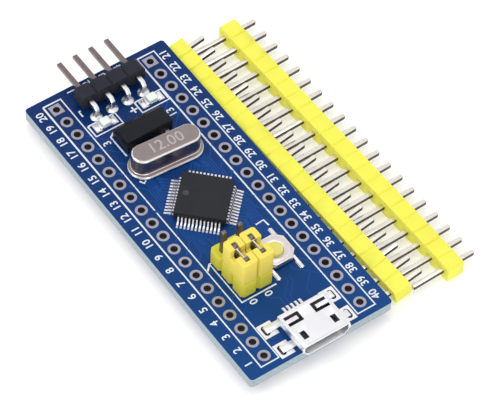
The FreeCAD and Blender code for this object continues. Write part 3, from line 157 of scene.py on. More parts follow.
def surface(name, colour, second=None, grain=0.3, drift=3.0, bump=0.004, rough=(0.4, 0.5), **shader_values):
    """A material whose colour drifts between two tones, with a grain of the given size in mm."""
    material = bpy.data.materials.new(name)
    material.use_nodes = True
    tree = material.node_tree
    shader = tree.nodes["Principled BSDF"]
    place = add(tree, "TexCoord").outputs["Object"]
    cloud = add(tree, "TexNoise", {"Scale": 1 / (drift * MM), "Detail": 3.0}, {"Vector": place})
    pair = {6: linear(colour), 7: linear(second or colour)}
    tones = add(tree, "Mix", pair, {0: cloud.outputs[0]}, data_type="RGBA")
    tree.links.new(tones.outputs[2], shader.inputs["Base Color"])
    speckle = add(tree, "TexNoise", {"Scale": 1 / (grain * MM), "Detail": 2.0}, {"Vector": place})
    span = add(tree, "MapRange", {"To Min": rough[0], "To Max": rough[1]}, {"Value": speckle.outputs[0]})
    tree.links.new(span.outputs[0], shader.inputs["Roughness"])
    relief = add(tree, "Bump", {"Distance": bump * MM, "Strength": 1.0}, {"Height": speckle.outputs[0]})
    tree.links.new(relief.outputs[0], shader.inputs["Normal"])
    for socket, value in shader_values.items():
        shader.inputs[socket.replace("_", " ")].default_value = value
    FINISHES.append(material)
    return material


# %% A colour that passes into another
def toned_along(material, axis, start, stop, colour):
    """Let a finish pass into another colour along one axis, between two places in millimetres."""
    tree = material.node_tree
    shader = tree.nodes["Principled BSDF"]
    axes = add(tree, "SeparateXYZ", links={0: add(tree, "TexCoord").outputs["Object"]})
    span = add(tree, "MapRange", {1: start * MM, 2: stop * MM}, {0: axes.outputs[axis]})
    before = shader.inputs["Base Color"].links[0].from_socket
    both = add(tree, "Mix", {7: linear(colour)}, {0: span.outputs[0], 6: before}, data_type="RGBA")
    tree.links.new(both.outputs[2], shader.inputs["Base Color"])
    return material


# %% [markdown]
# ## Turning a mesh into a finished piece
#
# Every piece is built in millimetres in a bmesh. One function scales it to metres, gives it its
# finish, sets which edges stay sharp and lets it ride on its CAD body. It also hides the CAD nodes
# that the piece stands for.


def piece(bm, name, body, finish, stands_for=(), smooth=30):
    """A finished object from a bmesh in millimetres."""
    bmesh.ops.scale(bm, vec=Vector((MM, MM, MM)), verts=bm.verts)
    mesh = bpy.data.meshes.new(name)
    bm.to_mesh(mesh)
    bm.free()
    made = bpy.data.objects.new(name, mesh)
    bpy.context.collection.objects.link(made)
    mesh.materials.append(finish)
    mesh.shade_smooth()
    mesh.set_sharp_from_angle(angle=math.radians(smooth))
    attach(made, body)
    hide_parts(*stands_for)
    return made


def dressed(node, finish):
    """A CAD node that keeps its mesh and gets a finish."""
    target = frame["nodes"][node]
    target.data.materials.clear()
    target.data.materials.append(finish)
    return target


# %% [markdown]
# ## Softening sharp edges
#
# A CAD solid has knife-sharp edges, which no moulded or pressed part has. Its mesh is also a heap of
# loose triangles. A copy is merged, its flat faces are joined up, and its sharp edges get a bevel of
# a few hundredths of a millimetre, so that they catch a thin line of light. The bevel operator can't
# know which edges matter, so the angle between the two faces decides.

# %% Rounded edges on a copy
SHARP_ANGLE = math.radians(25)
FLAT_ANGLE = math.radians(1)


def cad_copy(node):
    """A merged copy of a CAD node in millimetres, with its flat faces joined up."""
    bm = bmesh.new()
    bm.from_mesh(frame["nodes"][node].data)
    bmesh.ops.scale(bm, vec=Vector((1 / MM,) * 3), verts=bm.verts)
    bmesh.ops.remove_doubles(bm, verts=bm.verts, dist=1e-4)
    bmesh.ops.dissolve_limit(bm, angle_limit=FLAT_ANGLE, verts=bm.verts, edges=bm.edges)
    return bm


def round_edges(bm, width, segments=2, wanted=None):
    """Bevel the sharp edges, or those of them that are wanted."""
    edges = [e for e in bm.edges if e.is_manifold and e.calc_face_angle(0) > SHARP_ANGLE]
    if wanted:
        edges = [e for e in edges if wanted(e)]
    bmesh.ops.bevel(bm, geom=edges, offset=width, offset_type="OFFSET", segments=segments, profile=0.5,
                    affect="EDGES", clamp_overlap=True, material=-1)


def standing_for(node, bm, finish):
    """The piece that stands for a CAD node, on that node's body, with that node hidden."""
    return piece(bm, "soft_" + node, frame["nodes"][node]["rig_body"], finish, [node])


def softened(node, finish, width, segments=2):
    """A CAD node's copy with rounded edges, standing for it."""
    bm = cad_copy(node)
    round_edges(bm, width, segments)
    made = standing_for(node, bm, finish)
    print(node, len(made.data.polygons), "faces")
    return made


# %% Two finishes on one piece
def second_finish(made, finish, wanted):
    """Give the faces that are wanted a second finish."""
    made.data.materials.append(finish)
    for face in made.data.polygons:
        if wanted(face):
            face.material_index = 1
    return made


# %% [markdown]
# ## Tin, solder and plated pins
#
# Nearly all bare metal on a board is tin: hot-air levelled on the copper, plated on the leads,
# melted into the joints. It is a soft white metal that is never quite smooth, so each finish is a
# full metal with a roughness between a mirror and paper, and differs mainly in tone. A metal keeps
# the default index of refraction, since its base colour already sets what it mirrors.

# %% Tinned metals
# Fresh tin on lands and leads: white and bright, with a faint frost.
bright_tin = surface("bright_tin_plate", "#eae9eb", "#d8d6d9", 0.12, 1.5, 0.004, (0.24, 0.38), Metallic=1.0)
# The levelled ring of a hole: thin tin over copper, greyer and slightly violet.
ring_tin = surface("levelled_tin_ring", "#aeabb8", "#9a97a8", 0.12, 1.0, 0.004, (0.3, 0.45), Metallic=1.0)
# The wall inside a hole: the same tin, painted dark as painted shade, since hardly any light gets in.
painted_shade_hole_wall = surface("tin_hole_wall_painted_shade", "#5a534f", "#3c3836", 0.15, 1.0, 0.006, (0.45, 0.6), Metallic=0.7)
# Brass pins under thin plating: a warm grey that mirrors softly.
dull_pin = surface("dull_plated_pin", "#8d8180", "#6a5f5d", 0.25, 2.5, 0.003, (0.28, 0.42), Metallic=1.0)
# The same pins, white with solder from the bend down to the board.
dipped_pin = surface("dip_tinned_pin", "#8d8180", "#6a5f5d", 0.25, 2.5, 0.003, (0.22, 0.36), Metallic=1.0)
DIP_START, DIP_STOP = -21.6, -21.1
toned_along(dipped_pin, 0, DIP_START, DIP_STOP, "#e6e6e8")
# The loose strips' pins: new bright plating with a warm cast.
strip_pin = surface("plated_strip_pin", "#efeae2", "#dcd4c8", 0.3, 1.6, 0.003, (0.2, 0.34), Metallic=1.0)
# Their two sides that face along the strip: painted dark, a painted shade.
painted_shade_pin_side = surface("pin_side_painted_shade", "#5e5854", "#403c3b", 0.3, 1.6, 0.004, (0.3, 0.45), Metallic=0.8)
# Reflowed solder: nearly white, with a coarse frozen skin.
solder_metal = surface("reflowed_solder", "#f2f2f3", "#e2e2e5", 0.2, 1.0, 0.006, (0.3, 0.42), Metallic=1.0)
# Solder down in the receptacle's slots, in its own shade.
slot_solder = surface("shaded_slot_solder", "#4f5258", "#3b3d43", 0.2, 0.8, 0.01, (0.3, 0.45), Metallic=0.6)
print("tinned metals", len(FINISHES))

# %% [markdown]
# ## Steel and nickel
#
# The receptacle, the switch cover and the crystal's case are sheet metal, pressed or deep drawn and
# then plated with nickel. Pressing leaves a satin skin and drawing a finer one. Nickel is warmer
# than tin. The case is painted darker than its flange, a painted dim reflection of the room, and the
# flange is partly its own bright plating and partly a painted highlight.

# %% Pressed and drawn metals
# The receptacle's shell: cool, even satin.
pressed_steel = surface("nickel_flashed_steel", "#f0f0f2", "#e2e2e6", 0.15, 3.0, 0.003, (0.34, 0.48),
                        Metallic=1.0)
# The switch cover: the same press work, slightly pink beside it.
warm_steel = surface("warm_nickel_cover", "#e2dcdb", "#d3cccb", 0.15, 2.0, 0.003, (0.32, 0.46), Metallic=1.0)
# The crystal's case: a grey-brown metal with a soft gloss, painted darker as a painted dim reflection.
case_nickel_dim_reflection = surface("drawn_nickel_case_painted_dim_reflection", "#9a8f8e", "#8b8180", 0.1, 2.0, 0.006, (0.24, 0.36),
                         Metallic=1.0)
# Its welded flange, bright with its own plating and a painted highlight; on the case's rounded shoulder it is
# only a painted highlight, a thin white outline.
flange_nickel_and_highlight = surface("nickel_flange_painted_highlight", "#efecec", "#e0dcdc", 0.12, 2.0, 0.004, (0.16, 0.26),
                        Metallic=1.0)
print("metals in all", len(FINISHES))

# %% [markdown]
# ## Epoxy and header plastics
#
# Chips are black epoxy, blasted to an even matt. Header bodies are glass-filled nylon or PBT: satin,
# with a faint moulding grain. Both mirror little, because their skin is rough below what the eye
# resolves. A low specular level stands for that roughness and keeps the dark parts dark.

# %% Plastics
SOFT_GLOSS = {"IOR": 1.5, "Specular_IOR_Level": 0.16}
# The chip's and the regulator's bodies: a dead, slightly blue black.
blasted_epoxy = surface("blasted_black_epoxy", "#2b2c32", "#232429", 0.08, 2.0, 0.012, (0.5, 0.62),
                        **SOFT_GLOSS)
# The mould's ejector left the dimple smooth, so it shows lighter.
dimple_epoxy = surface("smooth_dimple_epoxy", "#484a51", "#404249", 0.1, 1.0, 0.002, (0.25, 0.35),
                       **SOFT_GLOSS)
# The small crystal's case: deeper black, with a little shine.
gloss_epoxy = surface("black_epoxy_case", "#181a22", "#121319", 0.15, 2.0, 0.008, (0.35, 0.5), **SOFT_GLOSS)
# The debug header, the switch body and the receptacle's tongue.
black_nylon = surface("black_glass_filled_nylon", "#292a36", "#20212a", 0.2, 2.0, 0.01, (0.42, 0.55),
                      **SOFT_GLOSS)
# The loose strips' bars: a clear lemon yellow.
bar_nylon = surface("yellow_header_nylon", "#f4f160", "#eee955", 0.3, 4.0, 0.008, (0.38, 0.5), **SOFT_GLOSS)
# The jumper caps: paler and more golden.
cap_nylon = surface("pale_yellow_jumper_nylon", "#f3e26a", "#edd85c", 0.3, 3.0, 0.008, (0.4, 0.52),
                    **SOFT_GLOSS)
# The boot header under them: the greenest of the three yellows.
base_nylon = surface("green_yellow_header_nylon", "#ddd549", "#d2c93e", 0.3, 3.0, 0.008, (0.4, 0.52),
                     **SOFT_GLOSS)
# The switch's plunger: cream.
plunger_nylon = surface("cream_plunger_nylon", "#ece584", "#e2da74", 0.3, 2.0, 0.006, (0.4, 0.5),
                        **SOFT_GLOSS)
print("metals and plastics", len(FINISHES))

# %% [markdown]
# ## Resin, glass, ceramic and ink
#
# What is left are small things: the LEDs' white cup and clear lens, the capacitors' fired ceramic,
# the resistors' glaze, and inside the closed parts silicon, quartz and sealing glass. Ink and mask
# are thin lacquers, so they take the soft gloss of the plastics.

# %% Resins, ceramics and inks
# The LED's cup: chalk white.
white_resin = surface("white_led_resin", "#eef0ec", "#e4e6e1", 0.2, 1.0, 0.006, (0.4, 0.5), IOR=1.5)
# Its lens: a glassy shine over a pale green tint.
lens_resin = surface("clear_led_lens", "#f2faf4", "#e4f2e8", 0.4, 1.0, 0.002, (0.12, 0.2), IOR=1.52)
# A die: a dark grey mirror.
silicon = surface("polished_silicon", "#4c5058", "#454950", 0.5, 1.0, 0.001, (0.15, 0.2), Metallic=0.6)
# The crystal's blank: pale and glassy.
quartz = surface("quartz_blank", "#dfe4e6", "#d5dadd", 0.5, 1.0, 0.001, (0.1, 0.15), IOR=1.54)
# The bead round each crystal lead: smoky brown glass.
seal_glass = surface("brown_sealing_glass", "#6b5f50", "#5c5145", 0.3, 1.0, 0.002, (0.15, 0.25), IOR=1.5)
# The capacitors: a dry tan ceramic.
capacitor_ceramic = surface("fired_capacitor_ceramic", "#b39a76", "#a58c69", 0.1, 0.8, 0.005, (0.45, 0.55),
                            IOR=1.6)
# The resistors: a shiny black skin.
resistor_glaze = surface("black_resistor_glaze", "#1e1e22", "#18181b", 0.2, 0.8, 0.003, (0.2, 0.3), IOR=1.5)
# The legend: a matt white, faintly blue where the mask shines through.
white_ink = surface("white_legend_ink", "#e9edf2", "#dbe1e8", 0.1, 0.6, 0.004, (0.45, 0.6), **SOFT_GLOSS)
# Mask over a track: lighter than mask over bare laminate.
track_mask = surface("blue_mask_over_copper", "#0f4a94", "#0b4085", 0.25, 3.0, 0.004, (0.3, 0.4),
                     **SOFT_GLOSS)
print("finishes", [finish.name for finish in FINISHES])

# %% [markdown]
# ## The laminate
#
# The mask is a thin blue lacquer over glass cloth and copper: smooth, glossy and a little cloudy.
# The sawn edge shows the pale, greenish glass laminate. One material does both, because the edge is
# wherever the height lies between the two faces: the Object coordinate's Z picks the tone.

# %% Mask and edge in one material
MASK_DEPTH = 0.02
WEAVE = 0.35


def masked_laminate():
    """Blue mask on the two faces and bare glass cloth between them."""
    material = surface("blue_masked_laminate", "#06306c", "#04275c", 0.25, 6.0, 0.004, (0.3, 0.4),
                       **SOFT_GLOSS)
    # The mask is painted lighter towards +X: a painted sheen across the board.
    toned_along(material, 0, BOARD_LOW.x, BOARD_HIGH.x, "#06407e")
    tree = material.node_tree
    shader = tree.nodes["Principled BSDF"]
    place = add(tree, "TexCoord").outputs["Object"]
    axes = add(tree, "SeparateXYZ", links={0: place})
    middle = (BOARD_LOW.z + BOARD_HIGH.z) / 2 * MM
    offset = add(tree, "Math", {1: middle}, {0: axes.outputs[2]}, operation="SUBTRACT")
    away = add(tree, "Math", links={0: offset.outputs[0]}, operation="ABSOLUTE")
    within = {1: middle - MASK_DEPTH * MM}
    inside = add(tree, "Math", within, {0: away.outputs[0]}, operation="LESS_THAN")
    weave = add(tree, "TexNoise", {"Scale": 1 / (WEAVE * MM), "Detail": 3.0}, {"Vector": place})
    cloth = {6: linear("#b3c1c8"), 7: linear("#8a9aa2")}
    glass = add(tree, "Mix", cloth, {0: weave.outputs[0]}, data_type="RGBA")
    mask = shader.inputs["Base Color"].links[0].from_socket
    layers = {0: inside.outputs[0], 6: mask, 7: glass.outputs[2]}
    both = add(tree, "Mix", links=layers, data_type="RGBA")
    tree.links.new(both.outputs[2], shader.inputs["Base Color"])
    return material


dressed("pcb_laminate", masked_laminate())
print("laminate faces", len(frame["nodes"]["pcb_laminate"].data.polygons))

# %% [markdown]
# ## Copper and what is inside
#
# Flat copper and the parts inside closed cases already have their true shape, so they keep their CAD
# mesh and only get a finish. A hole's barrel gets two: its flat ring is bright, and its wall, which
# faces sideways, is painted dark as painted shade. Which way a face points is enough to tell them apart.

# %% Finishes on the CAD meshes
for node in ("top_lands", "mcu_lands", "bottom_lands"):
    dressed(node, bright_tin)
dressed("usb_slot_barrels", solder_metal)
for node in ("near_row_barrels", "far_row_barrels", "part_barrels"):
    # The sideways walls get the painted shade.
    second_finish(dressed(node, ring_tin), painted_shade_hole_wall, lambda face: abs(face.normal.z) < 0.5)

KEPT = {"mcu_paddle": bright_tin, "mcu_die": silicon, "crystal_blank": quartz, "crystal_clips": bright_tin,
        "crystal_glass_seals": seal_glass, "rtc_crystal_tube": pressed_steel, "led_chips": silicon,
        "reset_dome": pressed_steel, "usb_tab_solder": slot_solder, "pin_solder": solder_metal,
        "crystal_leads": bright_tin, "usb_contacts": bright_tin}
for node, finish in KEPT.items():
    dressed(node, finish)
print("inner parts and joints that keep their mesh", len(KEPT))

# %% [markdown]
# ## The chip and the parts around it
#
# The chip is a moulded slab with forty-eight formed leads, and each small part beside it is a body
# with metal ends. All of them have their true shape already, so only their edges change. The width
# of an edge follows how it was made: a moulding's is a few hundredths of a millimetre, a folded
# terminal's a little more, and a stamped lead's so small that one bevel segment does.

# %% Chip, regulator, capacitors and resistors
chip_top = box_mm("mcu_package")[1].z
DIMPLE_SHALLOW, DIMPLE_DEEP = 0.02, 0.1


def in_dimple(face):
    """Whether a face is the floor of the round dimple that marks lead one."""
    depth = chip_top - face.center.z / MM
    return face.normal.z > 0.9 and DIMPLE_SHALLOW < depth < DIMPLE_DEEP


second_finish(softened("mcu_package", blasted_epoxy, 0.05), dimple_epoxy, in_dimple)
softened("mcu_leads", bright_tin, 0.02, 1)
softened("regulator_package", blasted_epoxy, 0.04)
softened("regulator_leads", bright_tin, 0.02, 1)
softened("capacitor_bodies", capacitor_ceramic, 0.03, 1)
softened("capacitor_terminals", bright_tin, 0.05)
softened("resistor_bodies", resistor_glaze, 0.03, 1)
softened("resistor_terminals", bright_tin, 0.04)

# %% [markdown]
# ## Crystals, LEDs and the switch
#
# The crystal's case is deep drawn, so its shoulder is a generous round, and that round is painted
# with the bright flange finish, a painted highlight that draws a white outline. Its faces are the
# only ones that lean, neither flat nor upright, and the slope of the normal finds them. The switch
# is a pressed cover over a black body.

# %% Crystals, LEDs and switch
# The case's darker colour is a painted dim reflection.
can = softened("crystal_can", case_nickel_dim_reflection, 0.16, 3)
# The leaning shoulder faces get the flange finish as a painted highlight.
second_finish(can, flange_nickel_and_highlight, lambda face: 0.1 < face.normal.z < 0.9)
softened("crystal_base", flange_nickel_and_highlight, 0.08, 3)
softened("rtc_crystal_body", gloss_epoxy, 0.08)
softened("rtc_crystal_terminals", bright_tin, 0.04)
softened("led_bases", white_resin, 0.03)
softened("led_terminals", bright_tin, 0.03)
softened("led_lenses", lens_resin, 0.1)
softened("reset_housing", black_nylon, 0.04)
softened("reset_cover", warm_steel, 0.06)
softened("reset_contacts", bright_tin, 0.03, 1)
softened("reset_plunger", plunger_nylon, 0.08)

# %% [markdown]
# ## The boot header and its jumper caps
#
# A jumper cap is a nylon sleeve round a spring clip. The mould turns its four outer corners over
# generously, and all its other edges only a little. Two bevels make that: a wide one on the upright
# edges that stand at the corners of the cap's box, and a narrow one on every edge that is then left
# sharp. The wide one comes first, or the narrow one would cut those corners up.

# %% Boot header and jumper caps
CORNER_ROUND, EDGE_ROUND = 0.42, 0.14
SAME_PLACE, NEAR_CORNER = 0.01, 0.02


def rounded_cap(node):
    """A cap whose four outer corners are turned over generously before its edges are eased."""
    low, high = box_mm(node)
    bm = cad_copy(node)

    def outer_corner(edge):
        start, end = edge.verts[0].co, edge.verts[1].co
        upright = abs(start.x - end.x) < SAME_PLACE and abs(start.y - end.y) < SAME_PLACE
        from_side = min(abs(start.x - low.x), abs(start.x - high.x))
        from_end = min(abs(start.y - low.y), abs(start.y - high.y))
        return upright and from_side < NEAR_CORNER and from_end < NEAR_CORNER

    round_edges(bm, CORNER_ROUND, 5, outer_corner)
    round_edges(bm, EDGE_ROUND, 3)
    made = standing_for(node, bm, cap_nylon)
    print(node, len(made.data.polygons), "faces")
    return made


softened("boot_header_body", base_nylon, 0.08)
softened("boot_header_pins", dull_pin, 0.05)
rounded_cap("jumper_cap_a_shell")
rounded_cap("jumper_cap_b_shell")
softened("jumper_cap_a_clip", bright_tin, 0.02, 1)
softened("jumper_cap_b_clip", bright_tin, 0.02, 1)

# %% [markdown]
# ## Debug header, receptacle and loose strips
#
# Header bars are moulded in long lengths and snapped off, and their pins are cut from a square wire
# or a stamped comb. A pin is bright above and below, and its two sides are painted dark as painted
# shade. Those sides face along the strip.

# %% Debug header, receptacle and strips
softened("swd_header_body", black_nylon, 0.08)
softened("swd_header_pins", dipped_pin, 0.05)
softened("usb_shell", pressed_steel, 0.08)
softened("usb_tongue", black_nylon, 0.05)
softened("near_strip_bar", bar_nylon, 0.08)
softened("far_strip_bar", bar_nylon, 0.08)
for node in ("near_strip_pins", "far_strip_pins"):
    # The side faces along the strip get the painted shade.
    second_finish(softened(node, strip_pin, 0.06), painted_shade_pin_side, lambda face: abs(face.normal.x) > 0.6)

# %% [markdown]
# ## Printing and tracks
#
# The legend is white epoxy ink, screen printed about two hundredths of a millimetre thick. The
# tracks are etched copper that shows as faint ridges under the mask. Both are lines of constant
# width, so a curve with a round section is the quickest maker: it mitres its own corners, and
# pressing it flat afterwards leaves the soft shoulders that ink and lacquer have.

# %% Sizes of ink, tracks and hole rows
PITCH = 2.54
ROW_Y = 7.62
ROW_COUNT = 20
ROW_X = [PITCH * (i - (ROW_COUNT - 1) / 2) for i in range(ROW_COUNT)]
RING = 0.8
INK, INK_WIDTH = 0.018, 0.26
COPPER, FINE_TRACK, BROAD_TRACK = 0.016, 0.2, 0.25
print("row length in mm", round(ROW_X[-1] - ROW_X[0], 2))


# %% Flat lines from curves
def curve_mesh(data):
    """The mesh of a curve or text, as a bmesh, with its helper object removed."""
    helper = bpy.data.objects.new("helper", data)
    bpy.context.collection.objects.link(helper)
    bpy.context.view_layer.update()
    evaluated = helper.evaluated_get(bpy.context.evaluated_depsgraph_get())
    mesh = bpy.data.meshes.new_from_object(evaluated)
    bm = bmesh.new()
    bm.from_mesh(mesh)
    bpy.data.objects.remove(helper)
    bpy.data.meshes.remove(mesh)
    return bm


def flat_lines(paths, width, height, level):
    """Ridges of one width along paths of (x, y) points."""
    data = bpy.data.curves.new("paths", "CURVE")
    data.dimensions = "3D"
    data.bevel_depth = width / 2
    data.bevel_resolution = 1
    data.use_fill_caps = True
    for points in paths:
        spline = data.splines.new("POLY")
        spline.points.add(len(points) - 1)
        for target, (x, y) in zip(spline.points, points):
            target.co = (x, y, 0, 1)
    bm = curve_mesh(data)
    bmesh.ops.scale(bm, vec=Vector((1, 1, 2 * height / width)), verts=bm.verts)
    bmesh.ops.translate(bm, vec=Vector((0, 0, level)), verts=bm.verts)
    print("lines", len(paths), "faces", len(bm.faces))
    return bm


# %% [markdown]
# ## Legend lines
#
# Each hole row stands in a long printed frame, and the small parts have short frames and corners
# that tell the assembler where they go. They are printed lines and nothing else, so each is only a
# list of corners in millimetres from the middle of the board.

# %% Legend lines
def frame_of(low_x, low_y, high_x, high_y):
    """The corners of a closed printed frame."""
    return [(low_x, low_y), (high_x, low_y), (high_x, high_y), (low_x, high_y), (low_x, low_y)]


ROW_FRAMES = [frame_of(-25.45, 6.3, 25.5, 9.1), frame_of(-25.4, -8.95, 25.4, -6.15)]


def legend_lines():
    """The row frames and the marks round the small parts, as one printed piece."""
    lights = [frame_of(-19.4, -5.7, -17.35, -1.35), frame_of(-19.4, 1.8, -17.35, 6.1)]
    clock = [(-17.0, 0.6), (-17.0, -2.9), (-16.2, -4.15), (-12.4, -4.15)]
    crystal = [(-7.95, -5.1), (-7.3, -4.75), (-7.85, -4.0)]
    boot = [(8.35, -0.3), (8.35, -5.15), (15.75, -5.15), (15.75, 0.3)]
    boot_corner = [(8.35, -5.15), (9.2, -6.0)]
    debug = [(-21.2, -5.3), (-22.2, -5.3), (-22.2, -5.0)]
    switch = [(6.45, 3.6), (6.35, 4.9), (7.45, 5.0)]
    first_plus = [[(-18.95, 1.05), (-17.85, 1.05)], [(-18.4, 0.5), (-18.4, 1.6)]]
    second_plus = [[(-16.95, -1.0), (-16.15, -1.0)], [(-16.55, -1.4), (-16.55, -0.6)]]
    marks = [clock, crystal, boot, boot_corner, debug, switch]
    paths = ROW_FRAMES + lights + marks + first_plus + second_plus
    piece(flat_lines(paths, INK_WIDTH, INK, BOARD_HIGH.z), "legend_lines", "board", white_ink)


legend_lines()


# %% [markdown]
# ## Legend numbers
#
# Text objects draw the numbers. They are turned to a mesh at once, given a little thickness, and
# joined, because forty loose objects would be a nuisance to carry. The font's size is its line
# height, so it is set larger than the digit that is wanted.

# %% Numbers as thin solids
NUMBER = 1.15
LINE_PER_DIGIT = 1.38
BOLDER = 0.02
NEAR_NUMBERS_Y, FAR_NUMBERS_Y = -9.98, 10.0


def lettering(entries, height, level, thickness, turn, below=False):
    """One bmesh of (text, x, y) entries, turned by an angle in degrees, read from above or below."""
    joined = bmesh.new()
    side = -1 if below else 1
    turned = Matrix.Rotation(math.radians(turn), 3, "Z")
    turned_over = Matrix.Rotation(math.pi, 3, "Y")
    for text, x, y in entries:
        data = bpy.data.curves.new("number", "FONT")
        data.body = text
        data.size = height * LINE_PER_DIGIT
        data.align_x = "CENTER"
        data.align_y = "CENTER"
        data.extrude = thickness / 2
        data.offset = BOLDER
        data.resolution_u = 3
        glyphs = curve_mesh(data)
        bmesh.ops.rotate(glyphs, cent=Vector(), matrix=turned, verts=glyphs.verts)
        if below:
            bmesh.ops.rotate(glyphs, cent=Vector(), matrix=turned_over, verts=glyphs.verts)
        bmesh.ops.translate(glyphs, vec=Vector((x, y, level + side * thickness / 2)), verts=glyphs.verts)
        mesh = bpy.data.meshes.new("glyphs")
        glyphs.to_mesh(mesh)
        glyphs.free()
        joined.from_mesh(mesh)
        bpy.data.meshes.remove(mesh)
    print("numbers", len(entries), "faces", len(joined.faces))
    return joined


# %% Numbers on the top
DEBUG_PINS, DEBUG_NUMBERS_X, DEBUG_NUMBERS_Y = 4, -25.75, 0.4


def row_numbers():
    """One to twenty along the near row, and on round the board along the far one."""
    near = [(str(ROW_COUNT - i), x, NEAR_NUMBERS_Y) for i, x in enumerate(ROW_X)]
    far = [(str(ROW_COUNT + 1 + i), x, FAR_NUMBERS_Y) for i, x in enumerate(ROW_X)]
    return near + far


numbers = row_numbers()
numbers += [("0", 16.45, -1.35), ("0", 16.45, -3.75), ("13", -15.3, 5.15), ("3", -15.6, -5.1)]
for i in range(DEBUG_PINS):
    numbers.append((str(i + 1), DEBUG_NUMBERS_X, PITCH * (i - (DEBUG_PINS - 1) / 2) - DEBUG_NUMBERS_Y))
piece(lettering(numbers, NUMBER, BOARD_HIGH.z, INK, 180), "legend_numbers", "board", white_ink)


# %% [markdown]
# ## Copper tracks under the mask
#
# Each lead of the chip has a track that leaves its land square to the package, runs along the board
# and turns at forty-five degrees into a hole of the nearer row. Leads with no hole of their own end
# in a small via. The chip stands at forty-five degrees to the board, so its four sides are worked
# out from one by two signs.

# %% Tracks that fan out from the chip
LEAD_REACH, LEAD_PITCH, LEADS_PER_SIDE = 4.78, 0.5, 12
SLANT = math.sqrt(0.5)
FIRST_RUN = 0.45
NEAREST_HOLE, FARTHEST_HOLE = 3.5, 20
SHORTEST, LONGER_BY = 1.1, 0.35


def one_track(place, side_x, side_y, hole):
    """A lead's track to its hole, or None where there is no room for one."""
    x, y = place
    run = FIRST_RUN * SLANT
    lane = (x + side_x * run, y + side_y * run)
    rise = ROW_Y - RING - abs(lane[1])
    corner = (hole - side_x * (rise + RING), lane[1])
    if side_x * (corner[0] - lane[0]) <= 0:
        return None
    return [place, lane, corner, (hole - side_x * RING, side_y * (ROW_Y - RING))]


def chip_fan():
    """The tracks of all leads, and the vias at which the short ones end."""
    low, high = box_mm("mcu_package")
    centre = (low + high) / 2
    tracks, vias = [], []
    for side_x, side_y in ((-1, -1), (-1, 1), (1, -1), (1, 1)):
        holes = sorted((x for x in ROW_X if NEAREST_HOLE < side_x * x < FARTHEST_HOLE), key=abs)
        for i in range(LEADS_PER_SIDE):
            along = (LEADS_PER_SIDE - 1) / 2 * LEAD_PITCH - i * LEAD_PITCH
            x = centre.x + side_x * SLANT * (LEAD_REACH - along)
            y = centre.y + side_y * SLANT * (LEAD_REACH + along)
            track = one_track((x, y), side_x, side_y, holes[i]) if i < len(holes) else None
            if track is None:
                out = SLANT * (SHORTEST + LONGER_BY * (i % 3))
                end = (x + side_x * out, y + side_y * out)
                track = [(x, y), end]
                vias.append(end)
            tracks.append(track)
    return tracks, vias


tracks, vias = chip_fan()
print("tracks", len(tracks), "vias", len(vias))

# %% [markdown]
# ## Vias
#
# A via is a tiny plated hole that the mask has sealed, which leaves a low round bump. A sphere
# pressed flat makes it, and only its upper half shows.

# %% Laying the tracks and the vias
VIA_RADIUS, VIA_FLATNESS = 0.3, 0.08
RECEPTACLE_TRACKS = [[(19.6, 0.65), (18.4, 0.65), (16.6, 2.4), (15.6, 2.4)],
                     [(19.6, -0.65), (17.9, -0.65), (16.6, -2.2)],
                     [(19.6, 0.0), (18.0, 0.0), (16.2, 1.8), (15.2, 1.8)],
                     [(16.4, 5.3), (18.6, 3.1), (19.9, 3.1)]]
top_tracks = flat_lines(tracks + RECEPTACLE_TRACKS, FINE_TRACK, COPPER, BOARD_HIGH.z)
piece(top_tracks, "copper_tracks", "board", track_mask)

domes = bmesh.new()
board_top = Matrix.Translation((0, 0, -BOARD_HIGH.z))
pressed = Vector((1, 1, VIA_FLATNESS))
for x, y in vias:
    place = Matrix.Translation((x, y, BOARD_HIGH.z))
    dome = bmesh.ops.create_uvsphere(domes, u_segments=16, v_segments=6, radius=VIA_RADIUS, matrix=place)
    bmesh.ops.scale(domes, vec=pressed, space=board_top, verts=dome["verts"])
piece(domes, "via_domes", "board", track_mask)
print("via height in mm", round(VIA_RADIUS * VIA_FLATNESS, 3))


# %% [markdown]
# ## The underside's printing and tracks
#
# The same two row frames and numbers are printed underneath, so that the board can be wired from
# either side. The numbers are turned over before they are laid, or they would read backwards. A
# short track joins each small capacitor to the nearest hole and to the resistor beside it.

# %% Underside tracks
TERMINAL_HALF, COLUMNS = 0.4, 6
SUPPLY_START, SUPPLY_END, SUPPLY_Y = -19.5, 15.4, 0.25
UNDER_TERMINAL, PAST_TERMINAL = 0.3, 0.25
UNDER_RESISTOR, PAST_RESISTOR = 0.2, 1.4


def underside_tracks():
    """Two supply tracks along the middle, and two short ones for each capacitor."""
    low, high = box_mm("capacitor_bodies")
    outer = box_mm("capacitor_terminals")[1].y
    link = box_mm("resistor_terminals")[1].y
    turn = outer + PAST_TERMINAL
    first, last = low.x + TERMINAL_HALF, high.x - TERMINAL_HALF
    found = [[(SUPPLY_START, side * SUPPLY_Y), (SUPPLY_END, side * SUPPLY_Y)] for side in (-1, 1)]
    for side in (-1, 1):
        for i in range(COLUMNS):
            x = first + (last - first) * i / (COLUMNS - 1)
            hole = min(ROW_X, key=lambda place: abs(place - x))
            slanted_to = turn + abs(hole - x)
            found.append([(x, side * (outer - UNDER_TERMINAL)), (x, side * turn), (hole, side * slanted_to),
                          (hole, side * (ROW_Y - RING))])
            found.append([(x, side * (link + PAST_RESISTOR)), (x, side * (link - UNDER_RESISTOR))])
    return found


under_tracks = flat_lines(underside_tracks(), BROAD_TRACK, COPPER, BOARD_LOW.z)
piece(under_tracks, "underside_tracks", "board", track_mask)

# %% Underside printing
under_lines = flat_lines(ROW_FRAMES, INK_WIDTH, INK, BOARD_LOW.z)
piece(under_lines, "underside_lines", "board", white_ink)
under_numbers = lettering(row_numbers(), NUMBER, BOARD_LOW.z, INK, 0, below=True)
piece(under_numbers, "underside_numbers", "board", white_ink)


